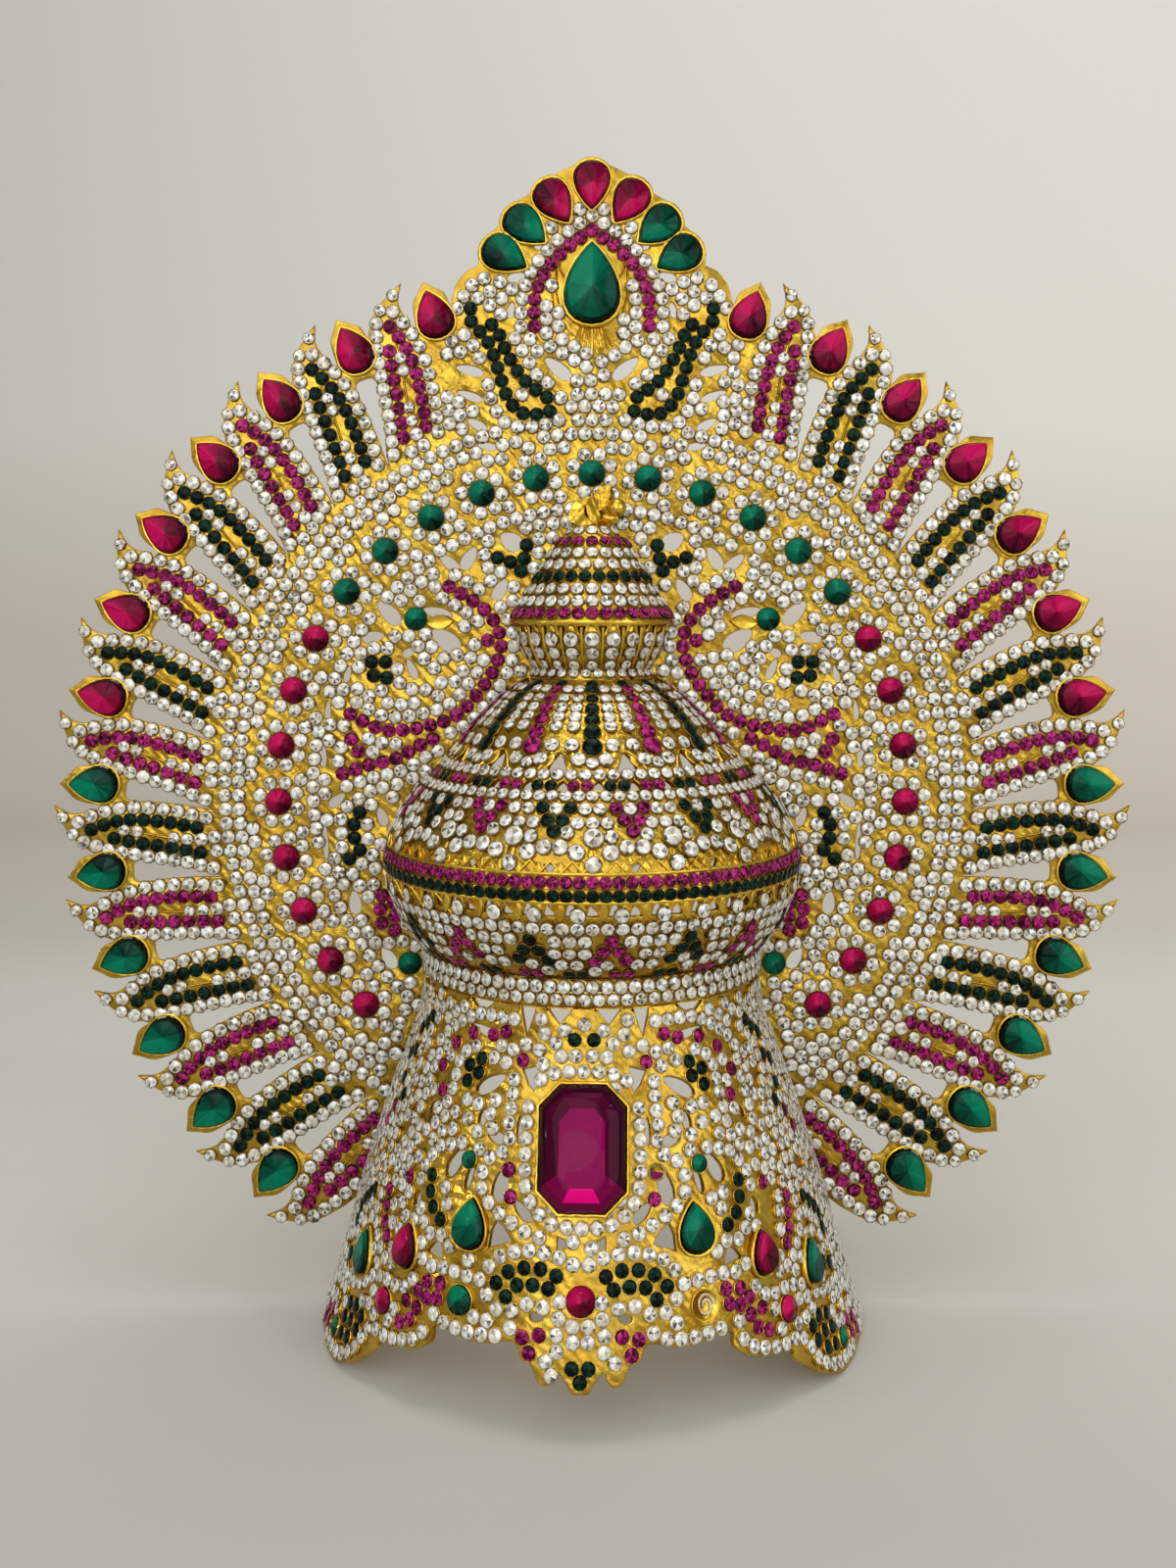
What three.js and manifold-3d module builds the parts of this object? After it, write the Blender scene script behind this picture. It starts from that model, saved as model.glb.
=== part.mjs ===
// A deity crown: a pierced halo plate edged with flames and drop stones, a crest, a tiered
// half-round tower in front of it and an open skirt that sits on the head.
// Millimetres, +Z up, front towards -Y. Origin: middle of the box in X and Y, lowest point in Z.
import * as THREE from 'three';
import { mergeVertices } from 'three/addons/utils/BufferGeometryUtils.js';
import Module from 'manifold-3d';

const wasm = await Module();
wasm.setup();

// ---- Driving dimensions -------------------------------------------------------------------
const WALL = 1.6; // cast metal sheet
const GAP = 0.3; // clearance between pieces that touch
const EMBED = 0.5; // how far raised work sinks into the sheet that carries it
const DEG = Math.PI / 180;

const HALO_Z = 125; // height of the halo's centre
const BACK_REACH = 8; // how far the skirt wraps behind the plate
const HEM_RADIUS = 64; // skirt radius at the floor
const FRONT_REACH = 60.5; // halo's front face to the tip of the front pendant
const CENTRE_Y = (FRONT_REACH - BACK_REACH) / 2; // shifts the box's middle to Y = 0

const FLAMES = 13; // on each side
const FLAME_PITCH = 10.17; // degrees
const FIRST_DROP = 18.5; // degrees from the top to the first rim drop
const DROP_TO_FLAME = 5.2; // degrees from a rim drop to the flame below it
const DROP_RADIUS = 120.4; // halo centre to the middle of a rim drop
const RED_RIM_DROPS = 7; // the upper ones, the rest are green

const RING_ROUNDS = 27; // round stones along the ring
const RING_RADIUS = 75.8;
const RING_PITCH = 10.3; // degrees
const RING_STONE = 6.4; // diameter

const DROP = { width: 8.5, length: 11.4, height: 3.0 };
const BIG_DROP = { width: 13.5, length: 19.7, height: 4.5 };
const CUP_RISE = 2.2; // how far a stone's cup stands off the sheet
const CUP_FLOOR = 0.5; // bottom of the cup, or top of a pad, above the sheet
const CUP_WALL = 1.0;

// ---- Materials ----------------------------------------------------------------------------
const gold = new THREE.MeshStandardMaterial({ color: 0xd4a017, metalness: 1, roughness: 0.28 });
const redGlass = new THREE.MeshStandardMaterial({ color: 0xb8004a, metalness: 0, roughness: 0.05 });
const greenGlass = new THREE.MeshStandardMaterial({ color: 0x005c40, metalness: 0, roughness: 0.05 });
const pinkGlass = new THREE.MeshStandardMaterial({ color: 0x96005a, metalness: 0, roughness: 0.05 });

// ---- Solids -------------------------------------------------------------------------------
// Signed volume of a triangle mesh, negative when its faces point inwards.
function signedVolume(position, index) {
  const a = new THREE.Vector3();
  const b = new THREE.Vector3();
  const c = new THREE.Vector3();
  let volume = 0;
  for (let i = 0; i < index.count; i += 3) {
    a.fromBufferAttribute(position, index.getX(i));
    b.fromBufferAttribute(position, index.getX(i + 1));
    c.fromBufferAttribute(position, index.getX(i + 2));
    volume += a.dot(b.cross(c)) / 6;
  }
  return volume;
}

// Turns a closed three.js geometry into a solid for cutting and joining.
function toSolid(geometry) {
  const bare = geometry.clone();
  bare.deleteAttribute('normal');
  bare.deleteAttribute('uv');
  const merged = mergeVertices(bare, 1e-3);
  const { position } = merged.attributes;
  const faces = [];
  for (let i = 0; i < merged.index.count; i += 3) {
    const [a, b, c] = [0, 1, 2].map((k) => merged.index.getX(i + k));
    if (a !== b && b !== c && c !== a) faces.push(a, b, c);
  }
  const triVerts = Uint32Array.from(faces);
  if (signedVolume(position, merged.index) < 0) {
    for (let i = 0; i < triVerts.length; i += 3) {
      [triVerts[i], triVerts[i + 1]] = [triVerts[i + 1], triVerts[i]];
    }
  }
  const vertProperties = Float32Array.from(position.array);
  return new wasm.Manifold(new wasm.Mesh({ numProp: 3, vertProperties, triVerts }));
}

function toGeometry(solid) {
  const mesh = solid.getMesh();
  const geometry = new THREE.BufferGeometry();
  geometry.setAttribute('position', new THREE.BufferAttribute(Float32Array.from(mesh.vertProperties), 3));
  geometry.setIndex(new THREE.BufferAttribute(Uint32Array.from(mesh.triVerts), 1));
  geometry.computeVertexNormals();
  return geometry;
}

const join = (solid, others) => others.reduce((all, other) => all.add(other), solid);
const cut = (solid, others) => others.reduce((all, other) => all.subtract(other), solid);

// A prism of an upright outline: [x, z] points, from front to back in Y.
function uprightPrism(outline, front, back) {
  const shape = new THREE.Shape(outline.map(([x, z]) => new THREE.Vector2(x, z)));
  const geometry = new THREE.ExtrudeGeometry(shape, { depth: back - front, bevelEnabled: false });
  geometry.rotateX(Math.PI / 2);
  geometry.translate(0, back, 0);
  return toSolid(geometry);
}

// A box given by its two corners.
function block(low, high) {
  const size = high.map((value, axis) => value - low[axis]);
  const geometry = new THREE.BoxGeometry(...size);
  geometry.translate(...high.map((value, axis) => (value + low[axis]) / 2));
  return toSolid(geometry);
}

// ---- Outlines -----------------------------------------------------------------------------
// A point on the halo: radius, and degrees from the top towards the given side.
function onHalo(radius, degrees, side) {
  return [side * radius * Math.sin(degrees * DEG), HALO_Z + radius * Math.cos(degrees * DEG)];
}

// A kite-shaped opening: middle, length along its leaning axis, width across it.
const KITE = [[0.5, 0], [-0.1, 0.5], [-0.5, 0], [-0.1, -0.5]];
function kite({ x, z, long, wide, lean }, side) {
  const direction = (side > 0 ? 180 - lean : lean) * DEG;
  return KITE.map(([u, v]) => [
    side * x + u * long * Math.cos(direction) - v * wide * Math.sin(direction),
    z + u * long * Math.sin(direction) + v * wide * Math.cos(direction),
  ]);
}

// Half width of a drop outline along it, 1 at its widest; the turn is 0 at the pointed end.
const DROP_TAPER = 1.2;
const DROP_WIDEST = 0.7;
function dropAcross(turn) {
  return (Math.sin(turn) * Math.abs(Math.sin(turn / 2)) ** DROP_TAPER) / DROP_WIDEST;
}

// A drop-shaped block standing on Z = 0, its point towards +Y, its top shrunk by `taper`.
function dropBlock(width, length, height, taper = 1) {
  const geometry = new THREE.CylinderGeometry(taper, 1, height, 8);
  geometry.rotateX(Math.PI / 2);
  const { position } = geometry.attributes;
  for (let i = 0; i < position.count; i += 1) {
    const across = position.getX(i);
    const along = position.getY(i);
    const radius = Math.hypot(across, along);
    const turn = Math.atan2(across, along);
    position.setX(i, ((radius * width) / 2) * dropAcross(turn));
    position.setY(i, ((radius * length) / 2) * Math.cos(turn));
    position.setZ(i, position.getZ(i) + height / 2);
  }
  return geometry;
}

// A round or many-sided block standing on Z = 0.
function roundBlock(diameter, height, sides, taper = 1) {
  const geometry = new THREE.CylinderGeometry((taper * diameter) / 2, diameter / 2, height, sides);
  geometry.rotateX(Math.PI / 2);
  geometry.translate(0, 0, height / 2);
  return geometry;
}

// An octagonal outline: a box with its corners cut off.
function octagon({ width, length, corner }) {
  const [w, l] = [width / 2, length / 2];
  const quarter = [[w, l - corner], [w - corner, l]];
  const [a, b] = quarter;
  return [a, b, [-b[0], b[1]], [-a[0], a[1]], [-a[0], -a[1]], [-b[0], -b[1]], [b[0], -b[1]], [a[0], -a[1]]];
}

// Frame for something seated on a surface: +Z along `outward`, +Y along `upward`.
function seat(origin, outward, upward) {
  const out = new THREE.Vector3(...outward).normalize();
  const up = new THREE.Vector3(...upward).normalize();
  const right = new THREE.Vector3().crossVectors(up, out).normalize();
  const trueUp = new THREE.Vector3().crossVectors(out, right);
  return new THREE.Matrix4().makeBasis(right, trueUp, out).setPosition(...origin);
}

// Seat on the plate's front face, its point turned `lean` degrees from straight up.
function plateSeat([x, z], lean) {
  return seat([x, 0, z], [0, -1, 0], [Math.sin(lean * DEG), 0, Math.cos(lean * DEG)]);
}

// An open cup: a raised wall, sunk into the sheet, and the stone's room to take out of it.
function cup(block, room, frame) {
  block.translate(0, 0, -EMBED);
  room.translate(0, 0, CUP_FLOOR);
  return { wall: toSolid(block.applyMatrix4(frame)), room: toSolid(room.applyMatrix4(frame)) };
}

// Adds cups to a sheet. Rooms are cut last, so that no neighbour's wall fills one.
function addCups(sheet, cups) {
  return cut(join(sheet, cups.map(({ wall }) => wall)), cups.map(({ room }) => room));
}

function dropCup({ width, length }, frame) {
  const clear = 2 * GAP;
  const outer = dropBlock(width + clear + 2 * CUP_WALL, length + clear + 2.6 * CUP_WALL, CUP_RISE + EMBED);
  return cup(outer, dropBlock(width + clear, length + 1.3 * clear, CUP_RISE + EMBED), frame);
}

function roundCup(diameter, sides, frame) {
  const room = diameter + 2 * GAP;
  const outer = roundBlock(room + 2 * CUP_WALL, CUP_RISE + EMBED, sides);
  return cup(outer, roundBlock(room, CUP_RISE + EMBED, sides), frame);
}

// ---- Meshes -------------------------------------------------------------------------------
const crown = new THREE.Group();
crown.name = 'deity_crown';
crown.position.y = CENTRE_Y;

function addMesh(name, geometry, material) {
  const mesh = new THREE.Mesh(geometry, material);
  mesh.name = name;
  crown.add(mesh);
}

// A loose stone, laid in its cup.
function addStone(name, geometry, material, frame) {
  geometry.translate(0, 0, CUP_FLOOR + GAP);
  const mesh = new THREE.Mesh(geometry, material);
  mesh.name = name;
  mesh.applyMatrix4(frame);
  crown.add(mesh);
}

const STONE_TABLE = 0.5; // a stone's flat top against its girdle
function addDrop(name, size, material, frame) {
  addStone(name, dropBlock(size.width, size.length, size.height, STONE_TABLE), material, frame);
}

// ---- Skirt shape, which the plate's lower opening follows ------------------------------------
const SKIRT = [ // outer radius by height
  { z: 82, radius: 39 },
  { z: 72, radius: 40.8 },
  { z: 54, radius: 47.5 },
  { z: 34, radius: 54 },
  { z: 12, radius: 60 },
  { z: 0, radius: HEM_RADIUS },
];
const SKIRT_TOP = SKIRT[0].z;
const SKIRT_TURN = -2.5; // the skirt's pattern is set slightly to the wearer's right

function skirtRadius(z) {
  const below = SKIRT.findIndex((row) => row.z <= z);
  const low = SKIRT[Math.max(below, 1)];
  const high = SKIRT[Math.max(below, 1) - 1];
  return low.radius + ((z - low.z) * (high.radius - low.radius)) / (high.z - low.z);
}

// ---- Halo plate ---------------------------------------------------------------------------
// One flame and the drop lobe before it, seen from the top of the halo: [radius, degrees from
// the drop's middle line].
const FLAME_EDGE = [
  [121.5, -2.1], [126.2, -1.1], [128.8, 0], [126.2, 1.1], // drop lobe
  [118.3, 2.6], [125.8, 3.6], [130.2, 2.4], // notch, inner edge and hooked tip
  [129.2, 3.7], [126, 6.6], // outer edge
];
const LAST_FLAME_FOOT = [118, 8.9];
const SLIT_EDGE = [ // the opening between two flames, below the drop lobe
  [92, 3.8], [99, 1.7], [111.6, -0.6], [112.6, 1.9], [105, 2.4], [98, 3],
];

const CREST_DROPS = [ // right half and middle; lean is the way out from the crest's middle
  { name: 'top', x: 0, z: 271.3, lean: 0, stone: redGlass },
  { name: 'upper', x: 8.9, z: 267.3, lean: 34, stone: redGlass },
  { name: 'middle', x: 15.8, z: 261.6, lean: 46, stone: greenGlass },
  { name: 'lower', x: 20.7, z: 254.7, lean: 56, stone: greenGlass },
];
const CREST_LOBE = { radius: 5.4, shift: 1.5, reach: 62 }; // round gold end of a crest drop
const CREST_SHOULDER = [[27.6, 251.2], [30.6, 249.6], [33, 246.4], [33.9, 243]];

function crestEdge() {
  const scallops = CREST_DROPS.slice().reverse().flatMap(({ x, z, lean }) => {
    const middle = [
      x + CREST_LOBE.shift * Math.sin(lean * DEG),
      z + CREST_LOBE.shift * Math.cos(lean * DEG),
    ];
    const turns = lean > 0 ? [0.72, 0.25, -0.25, -0.62] : [0.72, 0.25];
    return turns.map((turn) => {
      const angle = (lean + turn * CREST_LOBE.reach) * DEG;
      return [
        middle[0] + CREST_LOBE.radius * Math.sin(angle),
        middle[1] + CREST_LOBE.radius * Math.cos(angle),
      ];
    });
  });
  return [...CREST_SHOULDER.slice().reverse(), ...scallops];
}

function haloHalfEdge() { // from the crest's top down the right side to the skirt
  const edge = crestEdge().reverse();
  for (let k = 0; k < FLAMES; k += 1) {
    const drop = FIRST_DROP + k * FLAME_PITCH;
    const rows = k === 0 ? FLAME_EDGE.slice(1) : FLAME_EDGE;
    edge.push(...rows.map(([radius, turn]) => onHalo(radius, drop + turn, 1)));
  }
  const lastDrop = FIRST_DROP + (FLAMES - 1) * FLAME_PITCH;
  edge.push(onHalo(LAST_FLAME_FOOT[0], lastDrop + LAST_FLAME_FOOT[1], 1));
  return edge;
}

// Half of the arch behind the tower, and of the slot that the skirt passes through.
const PLATE_FOOT = 26; // where the last flame meets the skirt
const ARCH_HALF_WIDTH = 36;
const ARCH_TOP = [[ARCH_HALF_WIDTH, 127], [27, 135.5], [17, 141], [6, 144]];
function archHalfEdge(footZ) { // from the foot up to the top
  const slot = SKIRT.filter(({ z }) => z > footZ).reverse();
  const beside = slot.map(({ z, radius }) => [radius + 1.4 * GAP, z]);
  const ledge = SKIRT_TOP + GAP;
  const top = beside.pop();
  return [
    [skirtRadius(footZ) + 1.4 * GAP, footZ],
    ...beside,
    [top[0], ledge],
    [ARCH_HALF_WIDTH, ledge],
    ...ARCH_TOP,
  ];
}

const CREST_OPENINGS = [
  { x: 5.6, z: 262.4, long: 3.0, wide: 2.0, lean: 60 },
  { x: 12.2, z: 256.6, long: 3.6, wide: 2.4, lean: 40 },
  { x: 18.2, z: 248.4, long: 4.2, wide: 2.4, lean: 15 },
  { x: 19.6, z: 240.4, long: 3.6, wide: 1.8, lean: 80 },
  { x: 8.2, z: 226.2, long: 7.4, wide: 3.2, lean: 140 },
  { x: 29.6, z: 225.8, long: 6.4, wide: 2.4, lean: 165 },
  { x: 29.6, z: 219.6, long: 6.0, wide: 2.0, lean: 160 },
  { x: 27.8, z: 212.6, long: 5.0, wide: 2.2, lean: 150 },
  { x: 25.4, z: 207.4, long: 4.4, wide: 1.8, lean: 170 },
];
const SCROLL_OPENINGS = [ // between the ring and the tower
  { x: 34.6, z: 179.2, long: 5.4, wide: 2.6, lean: 140 },
  { x: 29.8, z: 180.2, long: 5.8, wide: 3.0, lean: 60 },
  { x: 19.6, z: 184.4, long: 5.4, wide: 4.2, lean: 150 },
  { x: 22.2, z: 172.6, long: 5.4, wide: 3.0, lean: 60 },
  { x: 49.2, z: 167.0, long: 7.0, wide: 3.6, lean: 135 },
  { x: 53.0, z: 161.2, long: 5.0, wide: 2.6, lean: 10 },
  { x: 37.4, z: 167.0, long: 6.6, wide: 2.6, lean: 165 },
  { x: 35.4, z: 160.4, long: 7.6, wide: 4.4, lean: 145 },
  { x: 44.4, z: 157.4, long: 3.0, wide: 2.0, lean: 30 },
  { x: 43.6, z: 153.4, long: 5.0, wide: 2.0, lean: 115 },
  { x: 59.2, z: 152.2, long: 3.8, wide: 1.6, lean: 75 },
  { x: 64.0, z: 143.4, long: 4.4, wide: 1.4, lean: 85 },
  { x: 65.2, z: 132.6, long: 5.6, wide: 1.8, lean: 92 },
  { x: 61.8, z: 121.6, long: 4.6, wide: 2.2, lean: 40 },
  { x: 64.6, z: 112.0, long: 9.0, wide: 1.4, lean: 93 },
  { x: 50.8, z: 117.6, long: 4.4, wide: 2.4, lean: 110 },
  { x: 57.4, z: 96.8, long: 5.4, wide: 3.0, lean: 95 },
  { x: 49.2, z: 83.4, long: 5.4, wide: 3.2, lean: 120 },
];

function haloOpenings() {
  const openings = [];
  [-1, 1].forEach((side) => {
    for (let k = 1; k < FLAMES; k += 1) {
      const drop = FIRST_DROP + k * FLAME_PITCH;
      openings.push(SLIT_EDGE.map(([radius, turn]) => onHalo(radius, drop + turn, side)));
    }
    [...CREST_OPENINGS, ...SCROLL_OPENINGS].forEach((row) => openings.push(kite(row, side)));
  });
  return openings;
}

const rimDropSeat = (k, side) => {
  const degrees = FIRST_DROP + k * FLAME_PITCH;
  return plateSeat(onHalo(DROP_RADIUS, degrees, side), side * degrees);
};
const crestDropSeat = ({ x, z, lean }, side) => plateSeat([side * x, z], side * lean + 180);
const BIG_DROP_SEAT = plateSeat([0, 246.6], 0);

const SCROLL_ROUNDS = [ // green rounds among the scrolls
  { x: 42.6, z: 165.6 },
  { x: 44.0, z: 82.4 },
];
const LEAF = { x: 36.6, z: 164.6, length: 7.5, width: 3.6, height: 1.6 };
const FAN = { z: 236.4, length: 9, width: 8, height: 1.5, sides: 7 };

const raised = (block, frame) => toSolid(block.translate(0, 0, -EMBED).applyMatrix4(frame));

// A low pad that carries a drop.
function dropPad({ width, length }, frame) {
  return raised(dropBlock(width + 2, length + 2.8, CUP_FLOOR + EMBED, 0.92), frame);
}

function haloRelief() {
  const relief = [];
  [-1, 1].forEach((side) => {
    for (let k = 0; k < FLAMES; k += 1) {
      relief.push(dropPad(DROP, rimDropSeat(k, side)));
    }
    CREST_DROPS.filter((row) => side > 0 || row.x > 0)
      .forEach((row) => relief.push(dropPad(DROP, crestDropSeat(row, side))));
    SCROLL_ROUNDS.forEach(({ x, z }) => {
      relief.push(raised(roundBlock(RING_STONE, 2, 6, 0.6), plateSeat([side * x, z], 0)));
    });
    const leaf = roundBlock(2, 1, 6, 0.2).scale(LEAF.length / 2, LEAF.width / 2, LEAF.height);
    relief.push(raised(leaf, plateSeat([side * LEAF.x, LEAF.z], 0)));
  });
  const fan = roundBlock(2, 1, FAN.sides, 0.5).scale(FAN.width / 2, FAN.length / 2, FAN.height);
  relief.push(raised(fan, plateSeat([0, FAN.z], 0)));
  for (let k = 0; k < RING_ROUNDS; k += 1) {
    const degrees = (k - (RING_ROUNDS - 1) / 2) * RING_PITCH;
    const round = roundBlock(RING_STONE, 2, 5, 0.55);
    relief.push(raised(round, plateSeat(onHalo(RING_RADIUS, degrees, 1), degrees)));
  }
  return relief;
}

function makeHalo() {
  const outer = haloHalfEdge();
  const half = [...outer, ...archHalfEdge(PLATE_FOOT)];
  const mirrored = half.map(([x, z]) => [-x, z]).reverse();
  const openings = haloOpenings().map((outline) => uprightPrism(outline, -WALL, 2 * WALL));
  const sheet = cut(uprightPrism([...half, ...mirrored], 0, WALL), openings);
  addMesh('halo_plate', toGeometry(addCups(join(sheet, haloRelief()), [dropCup(BIG_DROP, BIG_DROP_SEAT)])), gold);
}

makeHalo();
[['left', -1], ['right', 1]].forEach(([word, side]) => {
  for (let k = 0; k < FLAMES; k += 1) {
    const material = k < RED_RIM_DROPS ? redGlass : greenGlass;
    addDrop(`rim_drop_${word}_${k + 1}`, DROP, material, rimDropSeat(k, side));
  }
  CREST_DROPS.filter((row) => row.x > 0).forEach((row) => {
    addDrop(`crest_drop_${row.name}_${word}`, DROP, row.stone, crestDropSeat(row, side));
  });
});
addDrop('crest_drop_top', DROP, redGlass, crestDropSeat(CREST_DROPS[0], 1));
addDrop('crest_big_drop', BIG_DROP, greenGlass, BIG_DROP_SEAT);

// ---- Tower --------------------------------------------------------------------------------
const TURNED_SIDES = 36; // facets round a full turn
const SMALL_SIDES = 24;

// Closed profile of a wall: outer [radius, z] points from top to bottom, then back up inside.
function wallProfile(outer, wall) {
  const inner = outer.map(([radius, z], i) => {
    const [above, below] = [outer[Math.max(i - 1, 0)], outer[Math.min(i + 1, outer.length - 1)]];
    const slope = new THREE.Vector2(below[0] - above[0], below[1] - above[1]).normalize();
    const onAxis = radius === 0;
    const keepsEnd = !onAxis && (i === 0 || i === outer.length - 1);
    const drop = keepsEnd ? 0 : Math.abs(slope.x) * wall;
    const inset = onAxis ? 0 : wall * (keepsEnd ? 1 : Math.abs(slope.y));
    return [radius - inset, z - (onAxis ? wall : drop)];
  });
  const loop = [...outer, ...inner.reverse()];
  return outer[0][0] === 0 ? loop : [...loop, outer[0]];
}

function turned(outer, wall, sides) {
  const points = wallProfile(outer, wall).map(([radius, z]) => new THREE.Vector2(radius, z));
  const geometry = new THREE.LatheGeometry(points, sides);
  geometry.rotateX(Math.PI / 2);
  return toSolid(geometry);
}

// A cutter that points out from the tower's axis: [degrees from the front, z] corners.
function radialCutter(corners, inner, outer) {
  const shape = new THREE.Shape(corners.map(([degrees, z]) => new THREE.Vector2(degrees, z)));
  const geometry = new THREE.ExtrudeGeometry(shape, { depth: 1, bevelEnabled: false });
  const { position } = geometry.attributes;
  for (let i = 0; i < position.count; i += 1) {
    const angle = position.getX(i) * DEG;
    const radius = inner + (outer - inner) * position.getZ(i);
    position.setXYZ(i, radius * Math.sin(angle), -radius * Math.cos(angle), position.getY(i));
  }
  return toSolid(geometry);
}

// Openings repeated round a tier. `points` lists [share of the width, share of the height].
function openingsRound({ count, pitch, z, wide, high, points, offset = 0 }, radius) {
  const cutters = [];
  for (let k = 0; k < count; k += 1) {
    const middle = (k - (count - 1) / 2) * pitch + offset;
    const corners = points.map(([u, v]) => [middle + (u * wide) / 2, z + (v * high) / 2]);
    cutters.push(radialCutter(corners, radius * 0.4, radius * 1.5));
  }
  return cutters;
}
const TRIANGLE_UP = [[-1, -1], [1, -1], [0, 1]];
const TRIANGLE_DOWN = [[0, -1], [1, 1], [-1, 1]];

// The half of a tier that stands in front of the plate.
function frontHalf(solid) {
  const reach = 80;
  return solid.intersect(block([-reach, -reach, 0], [reach, -GAP, 2 * HALO_Z]));
}

const TIERS = [
  {
    name: 'tower_dome',
    sides: SMALL_SIDES,
    wall: 1.4,
    outer: [[0, 188.6], [5, 187.6], [8.8, 183.6], [13.4, 176], [19.2, 166.4], [19.4, 164.8]],
  },
  {
    name: 'tower_neck',
    sides: SMALL_SIDES,
    wall: 1.4,
    outer: [[17.9, 164.5], [17.2, 160], [15.2, 156], [13.8, 153.6], [15, 151.4]],
    openings: { count: 7, pitch: 20, z: 162.6, wide: 6, high: 2.8, points: TRIANGLE_DOWN },
  },
  {
    name: 'tower_cone',
    sides: TURNED_SIDES,
    wall: 1.4,
    outer: [[16, 151.1], [22, 147], [28, 141], [31, 136.6], [34.6, 132.6], [38, 128.4]],
    openings: { count: 6, pitch: 26.5, z: 133.4, wide: 6.4, high: 3.8, points: TRIANGLE_UP },
  },
  {
    name: 'belly_upper',
    sides: TURNED_SIDES,
    wall: 1.4,
    outer: [[39.4, 128.1], [41.2, 126], [44.8, 121], [48, 115], [49.4, 109.4]],
  },
  {
    name: 'belly_lower',
    sides: TURNED_SIDES,
    wall: 1.4,
    outer: [[49.4, 109.1], [48.6, 103], [45.8, 96], [42, 90.6], [39.8, 88.4]],
    openings: { count: 7, pitch: 21.5, z: 102.6, wide: 5.4, high: 3, points: TRIANGLE_UP },
  },
  {
    name: 'collar',
    sides: TURNED_SIDES,
    wall: 1.8,
    outer: [[39.4, 88.1], [40.2, 86.6], [39.6, 85.2], [40, 83.8], [39.2, SKIRT_TOP + GAP]],
  },
];

TIERS.forEach(({ name, sides, wall, outer, openings }) => {
  const shell = turned(outer, wall, sides);
  const pierced = openings ? cut(shell, openingsRound(openings, outer[1][0])) : shell;
  addMesh(name, toGeometry(frontHalf(pierced)), gold);
});

// Finial: the stub of a leaf finial with a ball beside it.
const FINIAL = { z: 188.9, stubRadius: 2.6, stubHeight: 3.6 };
const FINIAL_LEAVES = [
  { x: -4.2, y: -2.2, z: 192.4, size: [4.2, 1.6, 1.6], lean: -14 },
  { x: 0.6, y: -3.4, z: 192.6, size: [2.8, 1.4, 1.9], lean: 20 },
  { x: 3.4, y: -2.4, z: 194.4, size: [3.4, 1.3, 1.1], lean: 28 },
];
const FINIAL_BALL = { x: 5.2, y: -3, z: 192.6, radius: 2.3 };

function makeFinial() {
  const stub = new THREE.CylinderGeometry(FINIAL.stubRadius, FINIAL.stubRadius, FINIAL.stubHeight, 8);
  stub.rotateX(Math.PI / 2);
  stub.translate(0, -FINIAL.stubRadius - GAP, FINIAL.z + FINIAL.stubHeight / 2);
  const leaves = FINIAL_LEAVES.map(({ x, y, z, size, lean }) => {
    const leaf = new THREE.IcosahedronGeometry(1, 0).scale(...size);
    return toSolid(leaf.rotateY(-lean * DEG).translate(x, y, z));
  });
  const { x, y, z, radius } = FINIAL_BALL;
  const ball = toSolid(new THREE.IcosahedronGeometry(radius, 1).translate(x, y, z));
  addMesh('tower_finial', toGeometry(join(toSolid(stub), [...leaves, ball])), gold);
}
makeFinial();

// ---- Skirt --------------------------------------------------------------------------------
// Half of the hem from the middle of its pattern round to the back: [degrees, z].
const HEM = [
  [1.6, 10.2], [4.4, 14], [5.6, 11.8], [8, 11.6], [10, 15], [12, 15.6],
  [14, 18.6], [21, 17.2], [31.6, 18.2], [32.4, 15.2], [37, 12.2], [47, 10.6],
  [47.8, 8.6], [55, 3], [63, 0],
];
const SKIRT_OPENINGS = [ // degrees from the pattern's middle
  { turn: 37, z: 80.0, long: 5.4, wide: 1.3, lean: 0 },
  { turn: 17.5, z: 78.8, long: 4.8, wide: 3.0, lean: 80 },
  { turn: 7.5, z: 79.6, long: 4.6, wide: 2.4, lean: 160 },
  { turn: 34, z: 75.2, long: 7.6, wide: 1.7, lean: 170 },
  { turn: 15.5, z: 67.3, long: 3.4, wide: 2, lean: 90 },
  { turn: 26, z: 64.8, long: 6, wide: 1.8, lean: 170 },
  { turn: 24.5, z: 55, long: 4, wide: 1.6, lean: 170 },
  { turn: 34, z: 49, long: 5, wide: 2.6, lean: 100 },
  { turn: 20, z: 47.3, long: 5.6, wide: 2.4, lean: 105 },
  { turn: 13.5, z: 42.3, long: 4.2, wide: 1.8, lean: 40 },
  { turn: 18.5, z: 37.4, long: 4.4, wide: 2.2, lean: 150 },
  { turn: 2.8, z: 37, long: 2.8, wide: 1.6, lean: 0 },
  { turn: 36, z: 32.3, long: 4.4, wide: 2.2, lean: 150 },
  { turn: 8, z: 22.6, long: 3, wide: 1.5, lean: 0 },
];

const arcDegrees = (length, z) => length / skirtRadius(z) / DEG;

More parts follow.
